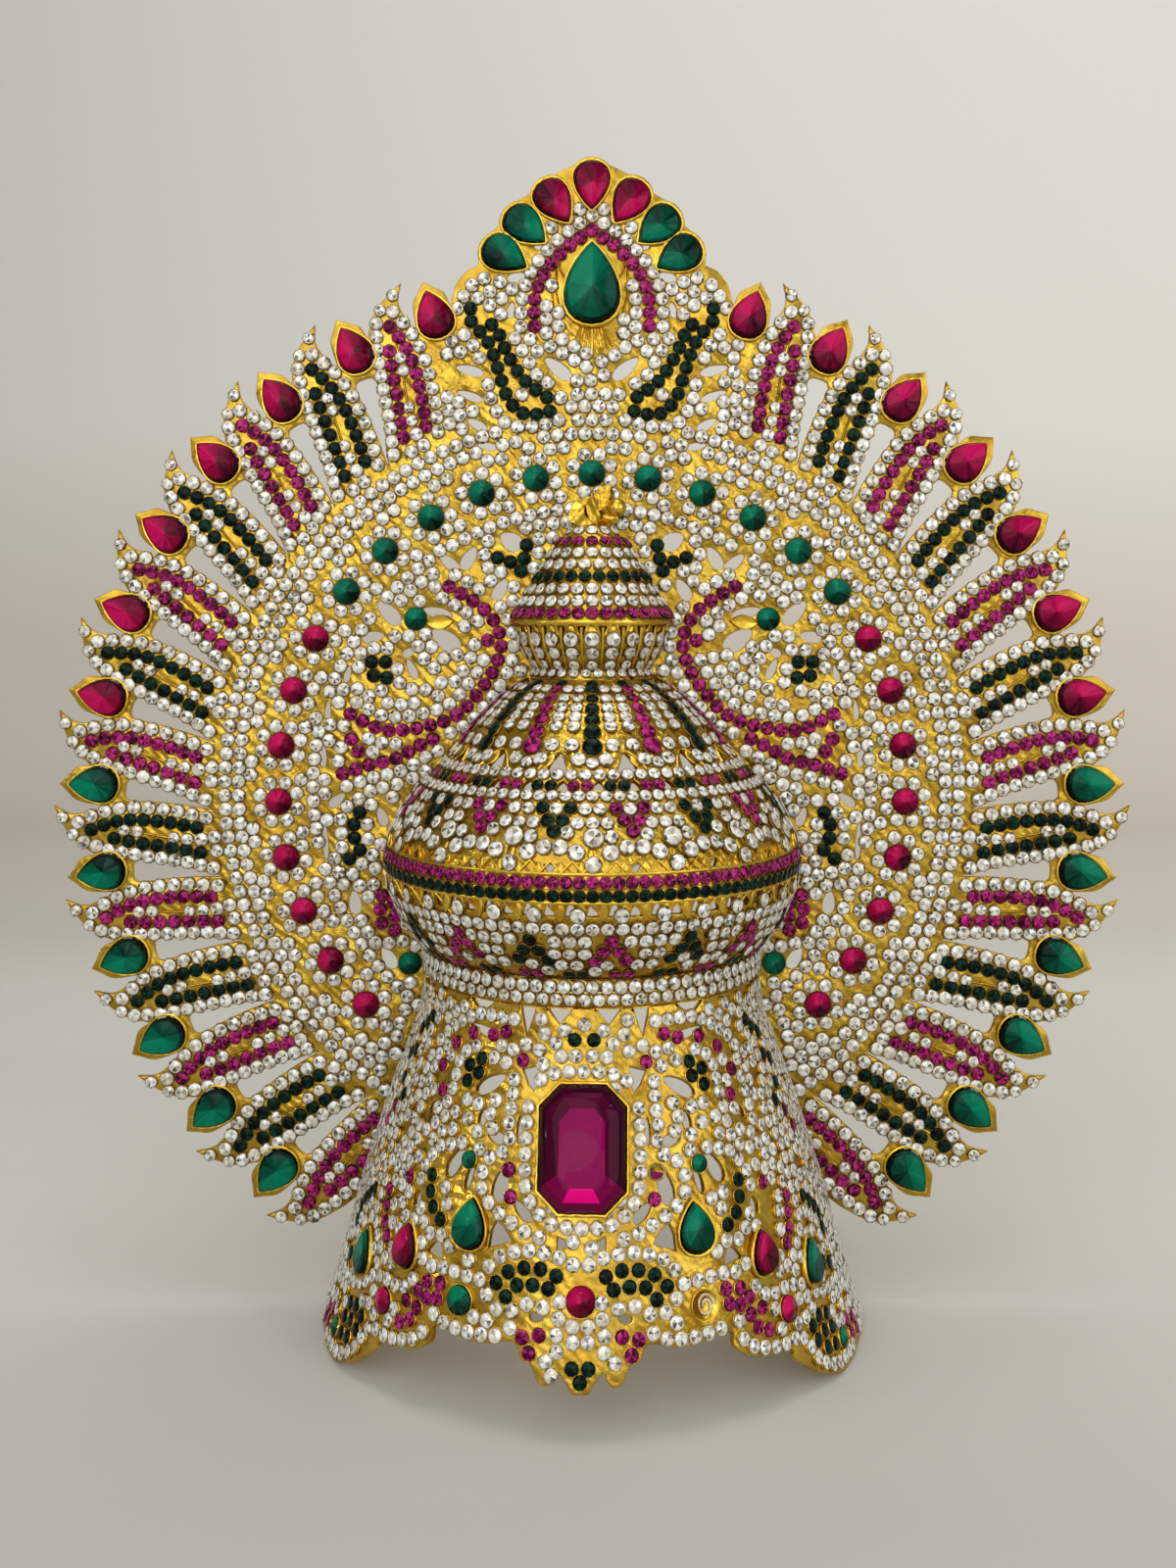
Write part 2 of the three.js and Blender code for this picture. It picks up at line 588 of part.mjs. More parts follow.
function skirtCutters() {
  const holes = [-1, 1].flatMap((side) => SKIRT_OPENINGS.map(({ turn, z, long, wide, lean }) => {
    const flat = kite({ x: 0, z: 0, long, wide, lean }, side);
    const middle = SKIRT_TURN + side * turn;
    return radialCutter(flat.map(([x, rise]) => [middle + arcDegrees(x, z), z + rise]), 25, 80);
  }));
  const hem = [...HEM.map(([turn, z]) => [-turn, z]).reverse(), ...HEM];
  const runs = [[-90, -31], [-32, 32], [31, 90]]; // degrees, cut one run at a time
  const runCutters = runs.map(([from, to]) => {
    const rows = hem.filter(([turn]) => turn > from && turn < to);
    const corners = [[rows[0][0], -5], ...rows, [rows[rows.length - 1][0], -5]];
    return radialCutter(corners.map(([turn, z]) => [SKIRT_TURN + turn, z]), 30, 100);
  });
  return [...holes, ...runCutters];
}

// Seat on the skirt: frame at `turn` degrees from the pattern's middle and height z.
function skirtSeat(turn, z, lean = 0) {
  const angle = (SKIRT_TURN + turn) * DEG;
  const radius = skirtRadius(z);
  const flare = (skirtRadius(z - 1) - skirtRadius(z + 1)) / 2;
  const outward = new THREE.Vector3(Math.sin(angle), -Math.cos(angle), flare).normalize();
  const side = new THREE.Vector3(Math.cos(angle), Math.sin(angle), 0);
  const up = new THREE.Vector3().crossVectors(outward, side);
  up.multiplyScalar(Math.cos(lean * DEG)).addScaledVector(side, Math.sin(lean * DEG));
  return seat([radius * Math.sin(angle), -radius * Math.cos(angle), z], outward.toArray(), up.toArray());
}

const OCTAGON = { width: 18, length: 25, corner: 4.2, height: 4.5 };
const OCTAGON_SEAT = skirtSeat(0, 54.8);
const OCTAGON_RIM = 1.4;
const HEM_ROUND = { turn: 0, z: 26.8, diameter: 6 };
const SKIRT_DROPS = [
  { name: 'green', turn: 26.5, z: 38.6, lean: 0, size: { width: 7.6, length: 9.8, height: 3 }, stone: greenGlass },
  { name: 'red', turn: 43.5, z: 30.8, lean: 0, size: { width: 6.6, length: 9, height: 3 }, stone: redGlass },
];
const SKIRT_ROUNDS = [ // stones joined to their setting
  { turn: 61, z: 23.6, diameter: 7.4 },
  { turn: 48, z: 18.2, diameter: 5.6 },
];
const LEFT_HEM_ROUND = { turn: -26.5, z: 24.2, diameter: 5.8 }; // its match on the right has fallen out

function octagonCup() {
  const room = { width: OCTAGON.width + 2 * GAP, length: OCTAGON.length + 2 * GAP, corner: OCTAGON.corner };
  const rim = { ...room, width: room.width + 2 * OCTAGON_RIM, length: room.length + 2 * OCTAGON_RIM };
  const prism = (outline, back, front) => {
    const shape = new THREE.Shape(octagon(outline).map(([x, y]) => new THREE.Vector2(x, y)));
    const geometry = new THREE.ExtrudeGeometry(shape, { depth: front - back, bevelEnabled: false });
    return toSolid(geometry.translate(0, 0, back).applyMatrix4(OCTAGON_SEAT));
  };
  return { wall: prism(rim, -1.2, 3), room: prism(room, CUP_FLOOR, 4) };
}

function makeSkirt() {
  const shell = turned(SKIRT.map(({ z, radius }) => [radius, z]), WALL, TURNED_SIDES);
  const front = shell.intersect(block([-80, -80, -1], [80, BACK_REACH, SKIRT_TOP + 1]));
  const rounds = [-1, 1].flatMap((side) => SKIRT_ROUNDS.map(({ turn, z, diameter }) => (
    raised(roundBlock(diameter, 2.2, 6, 0.55), skirtSeat(side * turn, z)))));
  const { turn, z, diameter } = LEFT_HEM_ROUND;
  rounds.push(raised(roundBlock(diameter, 2.2, 6, 0.55), skirtSeat(turn, z)));
  const cups = [
    octagonCup(),
    roundCup(HEM_ROUND.diameter, 8, skirtSeat(HEM_ROUND.turn, HEM_ROUND.z)),
    roundCup(diameter, 8, skirtSeat(-turn, z)),
  ];
  [-1, 1].forEach((side) => SKIRT_DROPS.forEach((row) => {
    rounds.push(dropPad(row.size, skirtSeat(side * row.turn, row.z)));
  }));
  addMesh('head_skirt', toGeometry(addCups(join(cut(front, skirtCutters()), rounds), cups)), gold);
}
makeSkirt();

function makeOctagonStone() {
  const bevel = { bevelThickness: 1.6, bevelSize: 2.6, bevelOffset: -2.6, bevelSegments: 1 };
  const shape = new THREE.Shape(octagon(OCTAGON).map(([x, y]) => new THREE.Vector2(x, y)));
  const geometry = new THREE.ExtrudeGeometry(shape, { depth: OCTAGON.height - 3.2, ...bevel });
  addStone('octagon_stone', geometry.translate(0, 0, bevel.bevelThickness), pinkGlass, OCTAGON_SEAT);
}
makeOctagonStone();

[['left', -1], ['right', 1]].forEach(([word, side]) => SKIRT_DROPS.forEach((row) => {
  addDrop(`skirt_drop_${row.name}_${word}`, row.size, row.stone, skirtSeat(side * row.turn, row.z));
}));
addStone('hem_round', roundBlock(HEM_ROUND.diameter, 2.6, 8, STONE_TABLE), redGlass,
  skirtSeat(HEM_ROUND.turn, HEM_ROUND.z));

export default crown;
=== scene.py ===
"""A deity crown: a pierced gilt halo edged with flames, a tiered tower in front of it and a
skirt that sits on the head, all of it set with foiled stones."""
import math

import bmesh
import bpy
import numpy as np
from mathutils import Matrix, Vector
from mathutils.geometry import delaunay_2d_cdt


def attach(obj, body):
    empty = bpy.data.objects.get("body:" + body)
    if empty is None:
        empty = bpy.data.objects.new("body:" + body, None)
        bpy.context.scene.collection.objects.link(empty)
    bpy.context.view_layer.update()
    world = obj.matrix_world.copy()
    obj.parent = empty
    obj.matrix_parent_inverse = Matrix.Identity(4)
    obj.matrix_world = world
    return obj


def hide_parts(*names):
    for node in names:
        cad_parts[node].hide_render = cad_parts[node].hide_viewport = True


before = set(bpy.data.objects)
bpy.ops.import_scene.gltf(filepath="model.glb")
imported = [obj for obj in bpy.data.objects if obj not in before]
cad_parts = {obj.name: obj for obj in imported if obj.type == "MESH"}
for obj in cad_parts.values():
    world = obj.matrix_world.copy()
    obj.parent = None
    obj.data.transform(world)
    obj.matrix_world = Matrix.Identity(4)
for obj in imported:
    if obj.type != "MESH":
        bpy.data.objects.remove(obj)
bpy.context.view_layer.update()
bpy.ops.object.select_all(action="DESELECT")
scene = bpy.context.scene
chance = np.random.default_rng(7)

# Everything is laid out in millimetres, front towards -Y, with the halo's face on Y = 0.
# SHIFT and MM bring it into the frame.
MM = 0.001
SHIFT = np.array([0.0, 26.25, 0.0])

WALL = 1.6  # thickness of the halo and of the skirt
HALO_Z = 125.0  # height of the halo's middle
BACK_REACH = 8.0  # how far the skirt reaches behind the halo's face
CHATON = 3.0  # diameter of the small stones
PITCH = 3.12  # from one small stone to the next
HALO_CHATON = 3.25  # the same on the halo
HALO_PITCH = 3.36
ROUND = 6.2  # diameter of the ring's round stones
FLAMES = 13  # on each side
FLAME_PITCH = 10.17  # degrees from one flame to the next
FIRST_DROP = 18.5  # degrees from the crest to the first drop
DROP_TO_FLAME = 5.2  # degrees from a drop to its flame
DROP_RADIUS = 120.4
RED_RIM_DROPS = 7  # the others are green
RING_ROUNDS, GREEN_RING_ROUNDS = 27, 11
RING_RADIUS = 75.8
RING_PITCH = 10.3  # degrees
DROP = (8.5, 11.4, 3.0)  # width, length, height
BIG_DROP = (13.5, 19.7, 4.5)
SEAT_RISE = 0.7  # drops sit this far above the sheet
DROP_WALL = 0.75  # gold round a drop


# ---- Finishes -----------------------------------------------------------------------------
class Finish:
    """A material being mixed: nodes are added by type, with their inputs set or linked."""

    def __init__(self, name):
        self.material = bpy.data.materials.new(name)
        self.material.use_nodes = True
        self.tree = self.material.node_tree
        self.shader = self.tree.nodes["Principled BSDF"]

    def add(self, kind, settings=(), **inputs):
        node = self.tree.nodes.new(kind)
        for key, value in dict(settings).items():
            setattr(node, key, value)
        for key, value in inputs.items():
            self.put(node, key.replace("_", " "), value)
        return node

    def put(self, node, key, value):
        socket = node.inputs[int(key[1:])] if key[0] == "i" and key[1:].isdigit() else node.inputs[key]
        if isinstance(value, bpy.types.NodeSocket):
            self.tree.links.new(value, socket)
        else:
            socket.default_value = value

    def place(self):
        return self.add("ShaderNodeTexCoord").outputs["Object"]

    def noise(self, place, scale, **how):
        return self.add("ShaderNodeTexNoise", Vector=place, Scale=scale, **how).outputs["Fac"]

    def sum(self, operation, *terms):
        inputs = {f"i{i}": term for i, term in enumerate(terms)}
        return self.add("ShaderNodeMath", {"operation": operation}, **inputs).outputs[0]

    def ramp(self, factor, *stops):
        node = self.add("ShaderNodeValToRGB", Fac=factor)
        elements = node.color_ramp.elements
        while len(elements) < len(stops):
            elements.new(0.5)
        for element, (place, colour) in zip(elements, stops):
            element.position = place
            element.color = (*colour, 1) if len(colour) == 3 else (colour[0],) * 3 + (1,)
        return node.outputs["Color"]

    def shade(self, **inputs):
        for key, value in inputs.items():
            self.put(self.shader, key.replace("_", " "), value)
        return self.material


def gold_finish(name, deep, bright, rough, strokes, depth, calm=None):
    """Gilt metal: soft dents, brushed strokes and deeper colour in patches; calmer outside the radius `calm`."""
    f = Finish(name)
    place = f.place()
    cloud = f.noise(place, 150.0, Detail=4.0)
    grain = f.noise(place, strokes, Detail=1.0, Distortion=0.8)
    chased = f.add("ShaderNodeTexWave", {"bands_direction": "DIAGONAL"}, Vector=place, Scale=200.0, Distortion=9.0,
                   Detail=1.0, Detail_Scale=0.35).outputs["Fac"]
    colour = f.ramp(cloud, (0.26, deep), (0.66, bright))
    gloss = f.ramp(grain, (0.3, (rough * 0.8,)), (0.75, (rough * 1.4,)))
    if calm:
        level = f.add("ShaderNodeVectorMath", {"operation": "MULTIPLY"}, i0=place, i1=(1, 0, 1)).outputs[0]
        middle = (0, 0, HALO_Z * MM)
        out = f.add("ShaderNodeVectorMath", {"operation": "DISTANCE"}, i0=level, i1=middle).outputs["Value"]
        depth = f.add("ShaderNodeMapRange", Value=out, From_Min=calm - 0.006, From_Max=calm,
                      To_Min=depth, To_Max=depth / 4).outputs[0]
    dents = f.add("ShaderNodeBump", Height=cloud, Strength=depth, Distance=0.005).outputs["Normal"]
    cuts = f.add("ShaderNodeBump", Height=chased, Strength=depth, Distance=0.0005, Normal=dents).outputs["Normal"]
    bump = f.add("ShaderNodeBump", Height=grain, Strength=depth, Distance=0.0004, Normal=cuts).outputs["Normal"]
    return f.shade(Base_Color=colour, Metallic=1.0, Roughness=gloss, Normal=bump)


def stone_finish(name, dark, body, bright, metallic=0.0, rough=0.12, coat=0.15, glint=None, cloudy=0.3):
    """Foiled glass: every facet has its own painted light, a brightness that stands in for what it reflects, held on
    the mesh.
    """
    f = Finish(name)
    facet_light = f.add("ShaderNodeAttribute", {"attribute_name": "facet_light"}).outputs["Fac"]
    cloud = f.noise(f.place(), 900.0, Detail=1.0)
    lowered = f.sum("SUBTRACT", f.sum("MULTIPLY_ADD", cloud, cloudy, facet_light), cloudy / 2)
    stops = [(0.05, dark), (0.45, body), (0.88, bright)]
    # where a glint is given, the brightest facets end in that painted glint colour
    colour = f.ramp(lowered, *(stops + [(0.97, glint)] if glint else stops))
    gloss = f.ramp(cloud, (0.3, (rough,)), (0.8, (rough * 1.8,)))
    return f.shade(Base_Color=colour, Metallic=metallic, Roughness=gloss, Specular_IOR_Level=0.04,
                   Coat_Weight=coat, Coat_IOR=1.4, Coat_Roughness=0.04)


gilt = gold_finish("gilt", (0.32, 0.158, 0.012), (0.63, 0.412, 0.052), 0.27, 650.0, 0.24)
gilt_plate = gold_finish("gilt_plate", (0.325, 0.168, 0.014), (0.64, 0.422, 0.054), 0.27, 650.0, 0.24, calm=0.118)
gilt_smooth = gold_finish("gilt_smooth", (0.37, 0.19, 0.016), (0.655, 0.432, 0.057), 0.27, 500.0, 0.13)
gilt_bright = gold_finish("gilt_bright", (0.52, 0.29, 0.024), (0.75, 0.505, 0.062), 0.26, 450.0, 0.08)
gilt_shadow = gold_finish("gilt_shadow", (0.13, 0.075, 0.012), (0.34, 0.20, 0.022), 0.4, 700.0, 0.1)
FINISHES = {
    "white": stone_finish("crystal", (0.06, 0.052, 0.036), (0.50, 0.46, 0.375), (0.87, 0.82, 0.71),
                          0.25, 0.16, 0.7, (0.86, 0.95, 1.0)),
    "magenta": stone_finish("magenta_glass", (0.022, 0.0, 0.008), (0.17, 0.004, 0.056), (0.50, 0.03, 0.20)),
    "bottle": stone_finish("bottle_green_glass", (0.0, 0.001, 0.001), (0.001, 0.005, 0.003), (0.003, 0.036, 0.018)),
    "ruby": stone_finish("ruby_glass", (0.035, 0.0, 0.007), (0.21, 0.0, 0.03), (0.52, 0.005, 0.09),
                         rough=0.08, cloudy=0.1),
    "emerald": stone_finish("emerald_glass", (0.0, 0.008, 0.005), (0.0, 0.076, 0.042), (0.001, 0.19, 0.10),
                            rough=0.08, cloudy=0.1),
    "pink": stone_finish("pink_glass", (0.028, 0.0, 0.008), (0.20, 0.0, 0.06), (0.72, 0.0, 0.19),
                         rough=0.06, cloudy=0.06),
}
SLOTS = {"magenta": "magenta_glass", "ruby": "ruby_glass", "emerald": "emerald_glass"}


# ---- Pieces -------------------------------------------------------------------------------
def linked(name, data):
    ob = bpy.data.objects.new(name, data)
    scene.collection.objects.link(ob)
    return ob


def on_bench(ob, mode="OBJECT"):
    """Makes this the only piece that operators work on."""
    bpy.ops.object.select_all(action="DESELECT")
    ob.select_set(True)
    bpy.context.view_layer.objects.active = ob
    if mode == "EDIT":
        bpy.ops.object.mode_set(mode="EDIT")
        bpy.ops.mesh.select_all(action="SELECT")


def in_frame(ob, finish, nodes=(), slot="gold_metal", angle=None):
    """Gives a piece its finish and its place on the crown."""
    ob.data.materials.clear()
    ob.data.materials.append(finish)
    if angle:
        on_bench(ob)
        bpy.ops.object.shade_smooth_by_angle(angle=math.radians(angle))
    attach(ob, "root")
    if nodes:
        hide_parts(*nodes)
    return ob


def new_mesh(name, points, corners, sizes):
    """A mesh object from points in millimetres."""
    mesh = bpy.data.meshes.new(name)
    placed = (np.asarray(points, float).reshape(-1, 3) + SHIFT) * MM
    mesh.vertices.add(len(placed))
    mesh.vertices.foreach_set("co", placed.ravel())
    mesh.loops.add(len(corners))
    mesh.loops.foreach_set("vertex_index", np.asarray(corners, np.int32))
    mesh.polygons.add(len(sizes))
    starts = np.concatenate([[0], np.cumsum(sizes)[:-1]]).astype(np.int32)
    mesh.polygons.foreach_set("loop_start", starts)
    mesh.update(calc_edges=True)
    return linked(name, mesh)


def place_points(mesh, where):
    """Moves every point to `where` it belongs, given in millimetres."""
    for vertex in mesh.vertices:
        vertex.co = (np.array(where(*vertex.co)) + SHIFT) * MM
    mesh.update()


# ---- Forms: each modelled once, with a radius or half length of 1 ---------------------------
def edit_faces(where):
    """Selects the faces whose normal's rise passes `where`."""
    bpy.ops.mesh.select_all(action="DESELECT")
    mesh = bmesh.from_edit_mesh(bpy.context.object.data)
    for face in mesh.faces:
        face.select_set(where(face.normal.z))
    bmesh.update_edit_mesh(bpy.context.object.data)


def extrude(rise, spread=1.0, centre=(0, 0, 0)):
    bpy.ops.mesh.extrude_region_move(TRANSFORM_OT_translate={"value": (0, 0, rise)})
    if spread != 1.0:
        bpy.ops.transform.resize(value=(spread, spread, 1), center_override=centre)


def from_lowest(corners):
    """A face's corners in the same turn, starting at the lowest number."""
    first = corners.index(min(corners))
    return corners[first:] + corners[:first]


def read_form():
    """Takes the shaped piece off the bench as arrays, its points and faces always in the same order."""
    bpy.ops.mesh.select_all(action="SELECT")
    bpy.ops.mesh.normals_make_consistent(inside=False)
    bpy.ops.object.mode_set(mode="OBJECT")
    ob = bpy.context.object
    mesh = ob.data
    order = sorted(range(len(mesh.vertices)), key=lambda i: [round(c, 4) for c in mesh.vertices[i].co])
    number = {old: new for new, old in enumerate(order)}
    faces = sorted(mesh.polygons, key=lambda face: [round(c, 4) for c in face.center])
    points = np.array([ob.matrix_world @ mesh.vertices[i].co for i in order])
    corners = np.array([i for face in faces for i in from_lowest([number[i] for i in face.vertices])])
    sizes = np.array([len(face.vertices) for face in faces])
    normals = np.array([face.normal for face in faces])
    middles = np.array([ob.matrix_world @ face.center for face in faces])
    bpy.data.objects.remove(ob)
    return {"points": points, "corners": corners, "sizes": sizes, "normals": normals, "middles": middles}


def start_cone(sides, foot, top, height, middle):
    """A cone in edit mode, its middle at a height above the seat."""
    bpy.ops.mesh.primitive_cone_add(vertices=sides, radius1=foot, radius2=top, depth=height, location=(0, 0, middle))
    bpy.ops.object.mode_set(mode="EDIT")


def start_outline(outline, z=0):
    """A flat face of the given outline, in edit mode."""
    bpy.ops.mesh.primitive_circle_add(vertices=len(outline), radius=1, fill_type="NGON", location=(0, 0, z))
    for vertex, xy in zip(bpy.context.object.data.vertices, outline):
        vertex.co.xy = xy
    bpy.ops.object.mode_set(mode="EDIT")
    bpy.ops.mesh.select_all(action="SELECT")


def sunk_floor(lip, dish):
    """Finishes a cup: the top sinks within a lip."""
    bpy.ops.mesh.inset(thickness=lip)
    bpy.ops.transform.translate(value=(0, 0, -dish))
    return read_form()


def chaton_form():
    """A small ten-sided stone: foot, narrow crown and a wide table of ten facets."""
    start_cone(10, 0.93, 0.71, 0.13, 0.405)
    edit_faces(lambda rise: rise < -0.9)
    extrude(-0.3, 1.08)
    edit_faces(lambda rise: rise > 0.95)
    bpy.ops.mesh.poke(offset=-0.03)
    return read_form()


def half_chaton_form():
    """A small stone split across its middle."""
    start_cone(12, 0.96, 0.7, 0.5, 0.25)
    bpy.ops.mesh.select_all(action="SELECT")
    bpy.ops.mesh.bisect(plane_co=(0, 0.05, 0.3), plane_no=(0.1, 1, 0.35), use_fill=True, clear_inner=True)
    return read_form()


def round_form():
    """A round stone cut to a low point."""
    start_cone(16, 1, 0, 0.3, 0.45)
    edit_faces(lambda rise: rise < -0.9)
    extrude(-0.3, 0.92)
    return read_form()


def cup_form(sides=8, outer=1.05, lip=0.12, height=0.36, dish=0.12):
    """A gold cup with a lip and a dished floor."""
    middle = (0, 0, height / 2 - 0.08)
    bpy.ops.mesh.primitive_cylinder_add(vertices=sides, radius=outer, depth=height, location=middle)
    bpy.ops.object.mode_set(mode="EDIT")
    edit_faces(lambda rise: rise > 0.9)
    return sunk_floor(lip, dish)


def drop_outline(grow, count=24):
    """A drop's outline, point towards +Y."""
    turns = [2 * math.pi * i / count for i in range(count)]
    return [(math.sin(t) * abs(math.sin(t / 2)) ** 0.8 / 0.8 * grow, math.cos(t) * grow) for t in turns]


def drop_form():
    """A drop stone with a girdle, a narrow crown and long facets meeting at a point."""
    start_outline(drop_outline(0.96))
    extrude(0.3, 1.05)
    extrude(0.24, 0.86, (0, -0.1, 0))
    bpy.ops.mesh.poke(offset=0.26)
    return read_form()


DROP_CUP_GROW = 1.2  # a drop's cup is modelled this much larger than its stone


def drop_cup_form():
    """The raised gold wall round a drop stone."""
    start_outline(drop_outline(DROP_CUP_GROW))
    extrude(0.48, 0.985)
    return sunk_floor(0.13, 0.26)


def petal_form():
    """A leaf pointed at both ends, with a ridged face."""
    start_outline([(math.sin(t) * abs(math.sin(t)), math.cos(t)) for t in np.arange(14) * math.pi / 7])
    extrude(0.6, 0.85)
    bpy.ops.mesh.poke(offset=0.4)
    return read_form()


def crumple_form():
    """A thin gold leaf, crushed into folds."""
    bpy.ops.mesh.primitive_grid_add(x_subdivisions=10, y_subdivisions=14, size=2)
    for vertex in bpy.context.object.data.vertices:
        x, y, _ = vertex.co
        x *= max(1 - abs(y) ** 2.4, 0.04)
        vertex.co = x, y, 0.5 - 0.4 * x * x + 0.2 * math.sin(4.2 * x + 2.6 * y) + 0.08 * math.sin(7.5 * y - 3 * x)
    bpy.ops.object.modifier_add(type="SOLIDIFY")
    bpy.context.object.modifiers[0].thickness = 0.12
    bpy.ops.object.modifier_apply(modifier=bpy.context.object.modifiers[0].name)
    bpy.ops.object.mode_set(mode="EDIT")
    return read_form()


def ball_form():
    bpy.ops.mesh.primitive_uv_sphere_add(segments=20, ring_count=12, radius=1)
    bpy.ops.object.mode_set(mode="EDIT")
    return read_form()


OCTAGON = (18, 25, 4.2)  # width, length, corner


def octagon_points(grow, corner_grow=0.0):
    """An upright octagon, grown by so many millimetres."""
    w, l = (OCTAGON[0] + grow) / 2, (OCTAGON[1] + grow) / 2
    corner = OCTAGON[2] + corner_grow
    quarter = [(w, l - corner), (w - corner, l)]
    half = quarter + [(-x, y) for x, y in quarter[::-1]]
    return half + [(-x, -y) for x, y in half]


def octagon_form():
    """An eight-sided step-cut stone: girdle, steep step, flat step and a narrow table."""
    start_outline(octagon_points(-0.6))
    extrude(1.4, 1.03)
    extrude(1.5, 0.84)
    extrude(0.75)
    bpy.ops.transform.resize(value=(0.64, 0.74, 1), center_override=(0, 0, 0))
    return read_form()


def octagon_cup_form():
    """The octagon's gold wall."""
    start_outline(octagon_points(2.0, 0.6))
    extrude(2.0, 0.985)
    return sunk_floor(0.7, 0.9)


FORMS = {
    "ball": ball_form(),
    "chaton": chaton_form(),
    "half_chaton": half_chaton_form(),
    "crumple": crumple_form(),
    "round": round_form(),
    "drop": drop_form(),
    "cup": cup_form(),
    "round_cup": cup_form(20, 1.08, 0.07, 0.32, 0.14),
    "drop_cup": drop_cup_form(),
    "petal": petal_form(),
    "octagon": octagon_form(),
    "octagon_cup": octagon_cup_form(),
}


# ---- Surfaces: each gives a seat (origin, right, up, out) at its own coordinates --------------
SLOPE_REACH = 0.6  # a turned wall's slope is taken this far up and down


def on_halo(radius, degrees, side=1):
    a = math.radians(degrees)
    return side * radius * math.sin(a), HALO_Z + radius * math.cos(a)


FLAT_AXES = (np.array([1.0, 0, 0]), np.array([0, 0, 1.0]), np.array([0, -1.0, 0]))


def halo_at(x, z):
    return (np.array([x, 0.0, z]), *FLAT_AXES)


def turned_at(profile):
    """Seats on a turned wall, by degrees from the front and height."""
    heights = [z for _, z in profile][::-1]
    radii = [radius for radius, _ in profile][::-1]

    def at(turn, z):
        a = math.radians(turn)
        radius = np.interp(z, heights, radii)
        low, high = z - SLOPE_REACH, z + SLOPE_REACH
        slope = (np.interp(low, heights, radii) - np.interp(high, heights, radii)) / (2 * SLOPE_REACH)
        if high > heights[-1] or low < heights[0]:
            slope *= 2
        out = np.array([math.sin(a), -math.cos(a), slope])
        out /= np.linalg.norm(out)
        right = np.array([math.cos(a), math.sin(a), 0.0])
        return np.array([radius * math.sin(a), -radius * math.cos(a), z]), right, np.cross(out, right), out

    return at


SKIRT = [(39, 82), (40.8, 72), (47.5, 54), (54, 34), (60, 12), (64, 0)]  # radius, height
SKIRT_TURN = -2.5  # the skirt's pattern is turned a little to one side
TIERS = {  # radius, height
    "tower_dome": [(0.01, 188.6), (5, 187.6), (8.8, 183.6), (13.4, 176), (19.2, 166.4), (19.4, 164.8)],
    "tower_neck": [(17.9, 164.5), (17.2, 160), (15.2, 156), (13.8, 153.6), (15, 151.4)],
    "tower_cone": [(16, 151.1), (22, 147), (28, 141), (31, 136.6), (34.6, 132.6), (38, 128.4)],
    "belly_upper": [(39.4, 128.1), (41.2, 126), (44.8, 121), (48, 115), (49.4, 109.4)],
    "belly_lower": [(49.4, 109.1), (48.6, 103), (45.8, 96), (42, 90.6), (39.8, 88.4)],
    "collar": [(39.4, 88.1), (40.2, 86.6), (39.6, 85.2), (40, 83.8), (39.2, 82.1)],
}
SEATS = {"halo": halo_at, "head_skirt": turned_at(SKIRT)}
SEATS.update({name: turned_at(profile) for name, profile in TIERS.items()})


def raised(surface, u, v, lift=0.0):
    """A point at a height over a surface."""
    origin, _, _, out = SEATS[surface](u, v)
    return origin + out * lift


def widest(z, *profiles):
    """The radius of turned walls at a height."""
    rows = sorted((height, radius) for profile in profiles for radius, height in profile)
    return float(np.interp(z, [height for height, _ in rows], [radius for _, radius in rows]))


def skirt_radius(z):
    return widest(z, SKIRT)


def tower_radius(z):
    return widest(z, *TIERS.values())


# ---- Curves and masks -----------------------------------------------------------------------
def curved(points, closed=False, steps=5):
    """A smooth curve through its points."""
    p = np.asarray(points, float)
    if len(p) < 3 and not closed:
        return p
    p = np.vstack([p[-1:], p, p[:2]]) if closed else np.vstack([2 * p[0] - p[1], p, 2 * p[-1] - p[-2]])
    out = []
    for a, b, c, d in zip(p, p[1:], p[2:], p[3:]):
        for t in np.arange(steps) / steps:
            bow, twist = 2 * a - 5 * b + 4 * c - d, 3 * b - a - 3 * c + d
            out.append(0.5 * (2 * b + (c - a) * t + bow * t**2 + twist * t**3))
    return np.array(out if closed else out + [p[-2]])


def leaf(x, z, long, wide, lean, side):
    """A leaf-shaped opening: middle, length along its leaning axis, width across it."""
    a = math.radians(180 - lean if side > 0 else lean)
    turns = np.linspace(0, 2 * math.pi, 14, endpoint=False)
    u = 0.54 * long * np.cos(turns)
    v = 0.5 * wide * np.sin(turns) * (1 - 0.25 * np.cos(turns))
    return np.column_stack([side * x + u * math.cos(a) - v * math.sin(a), z + u * math.sin(a) + v * math.cos(a)])


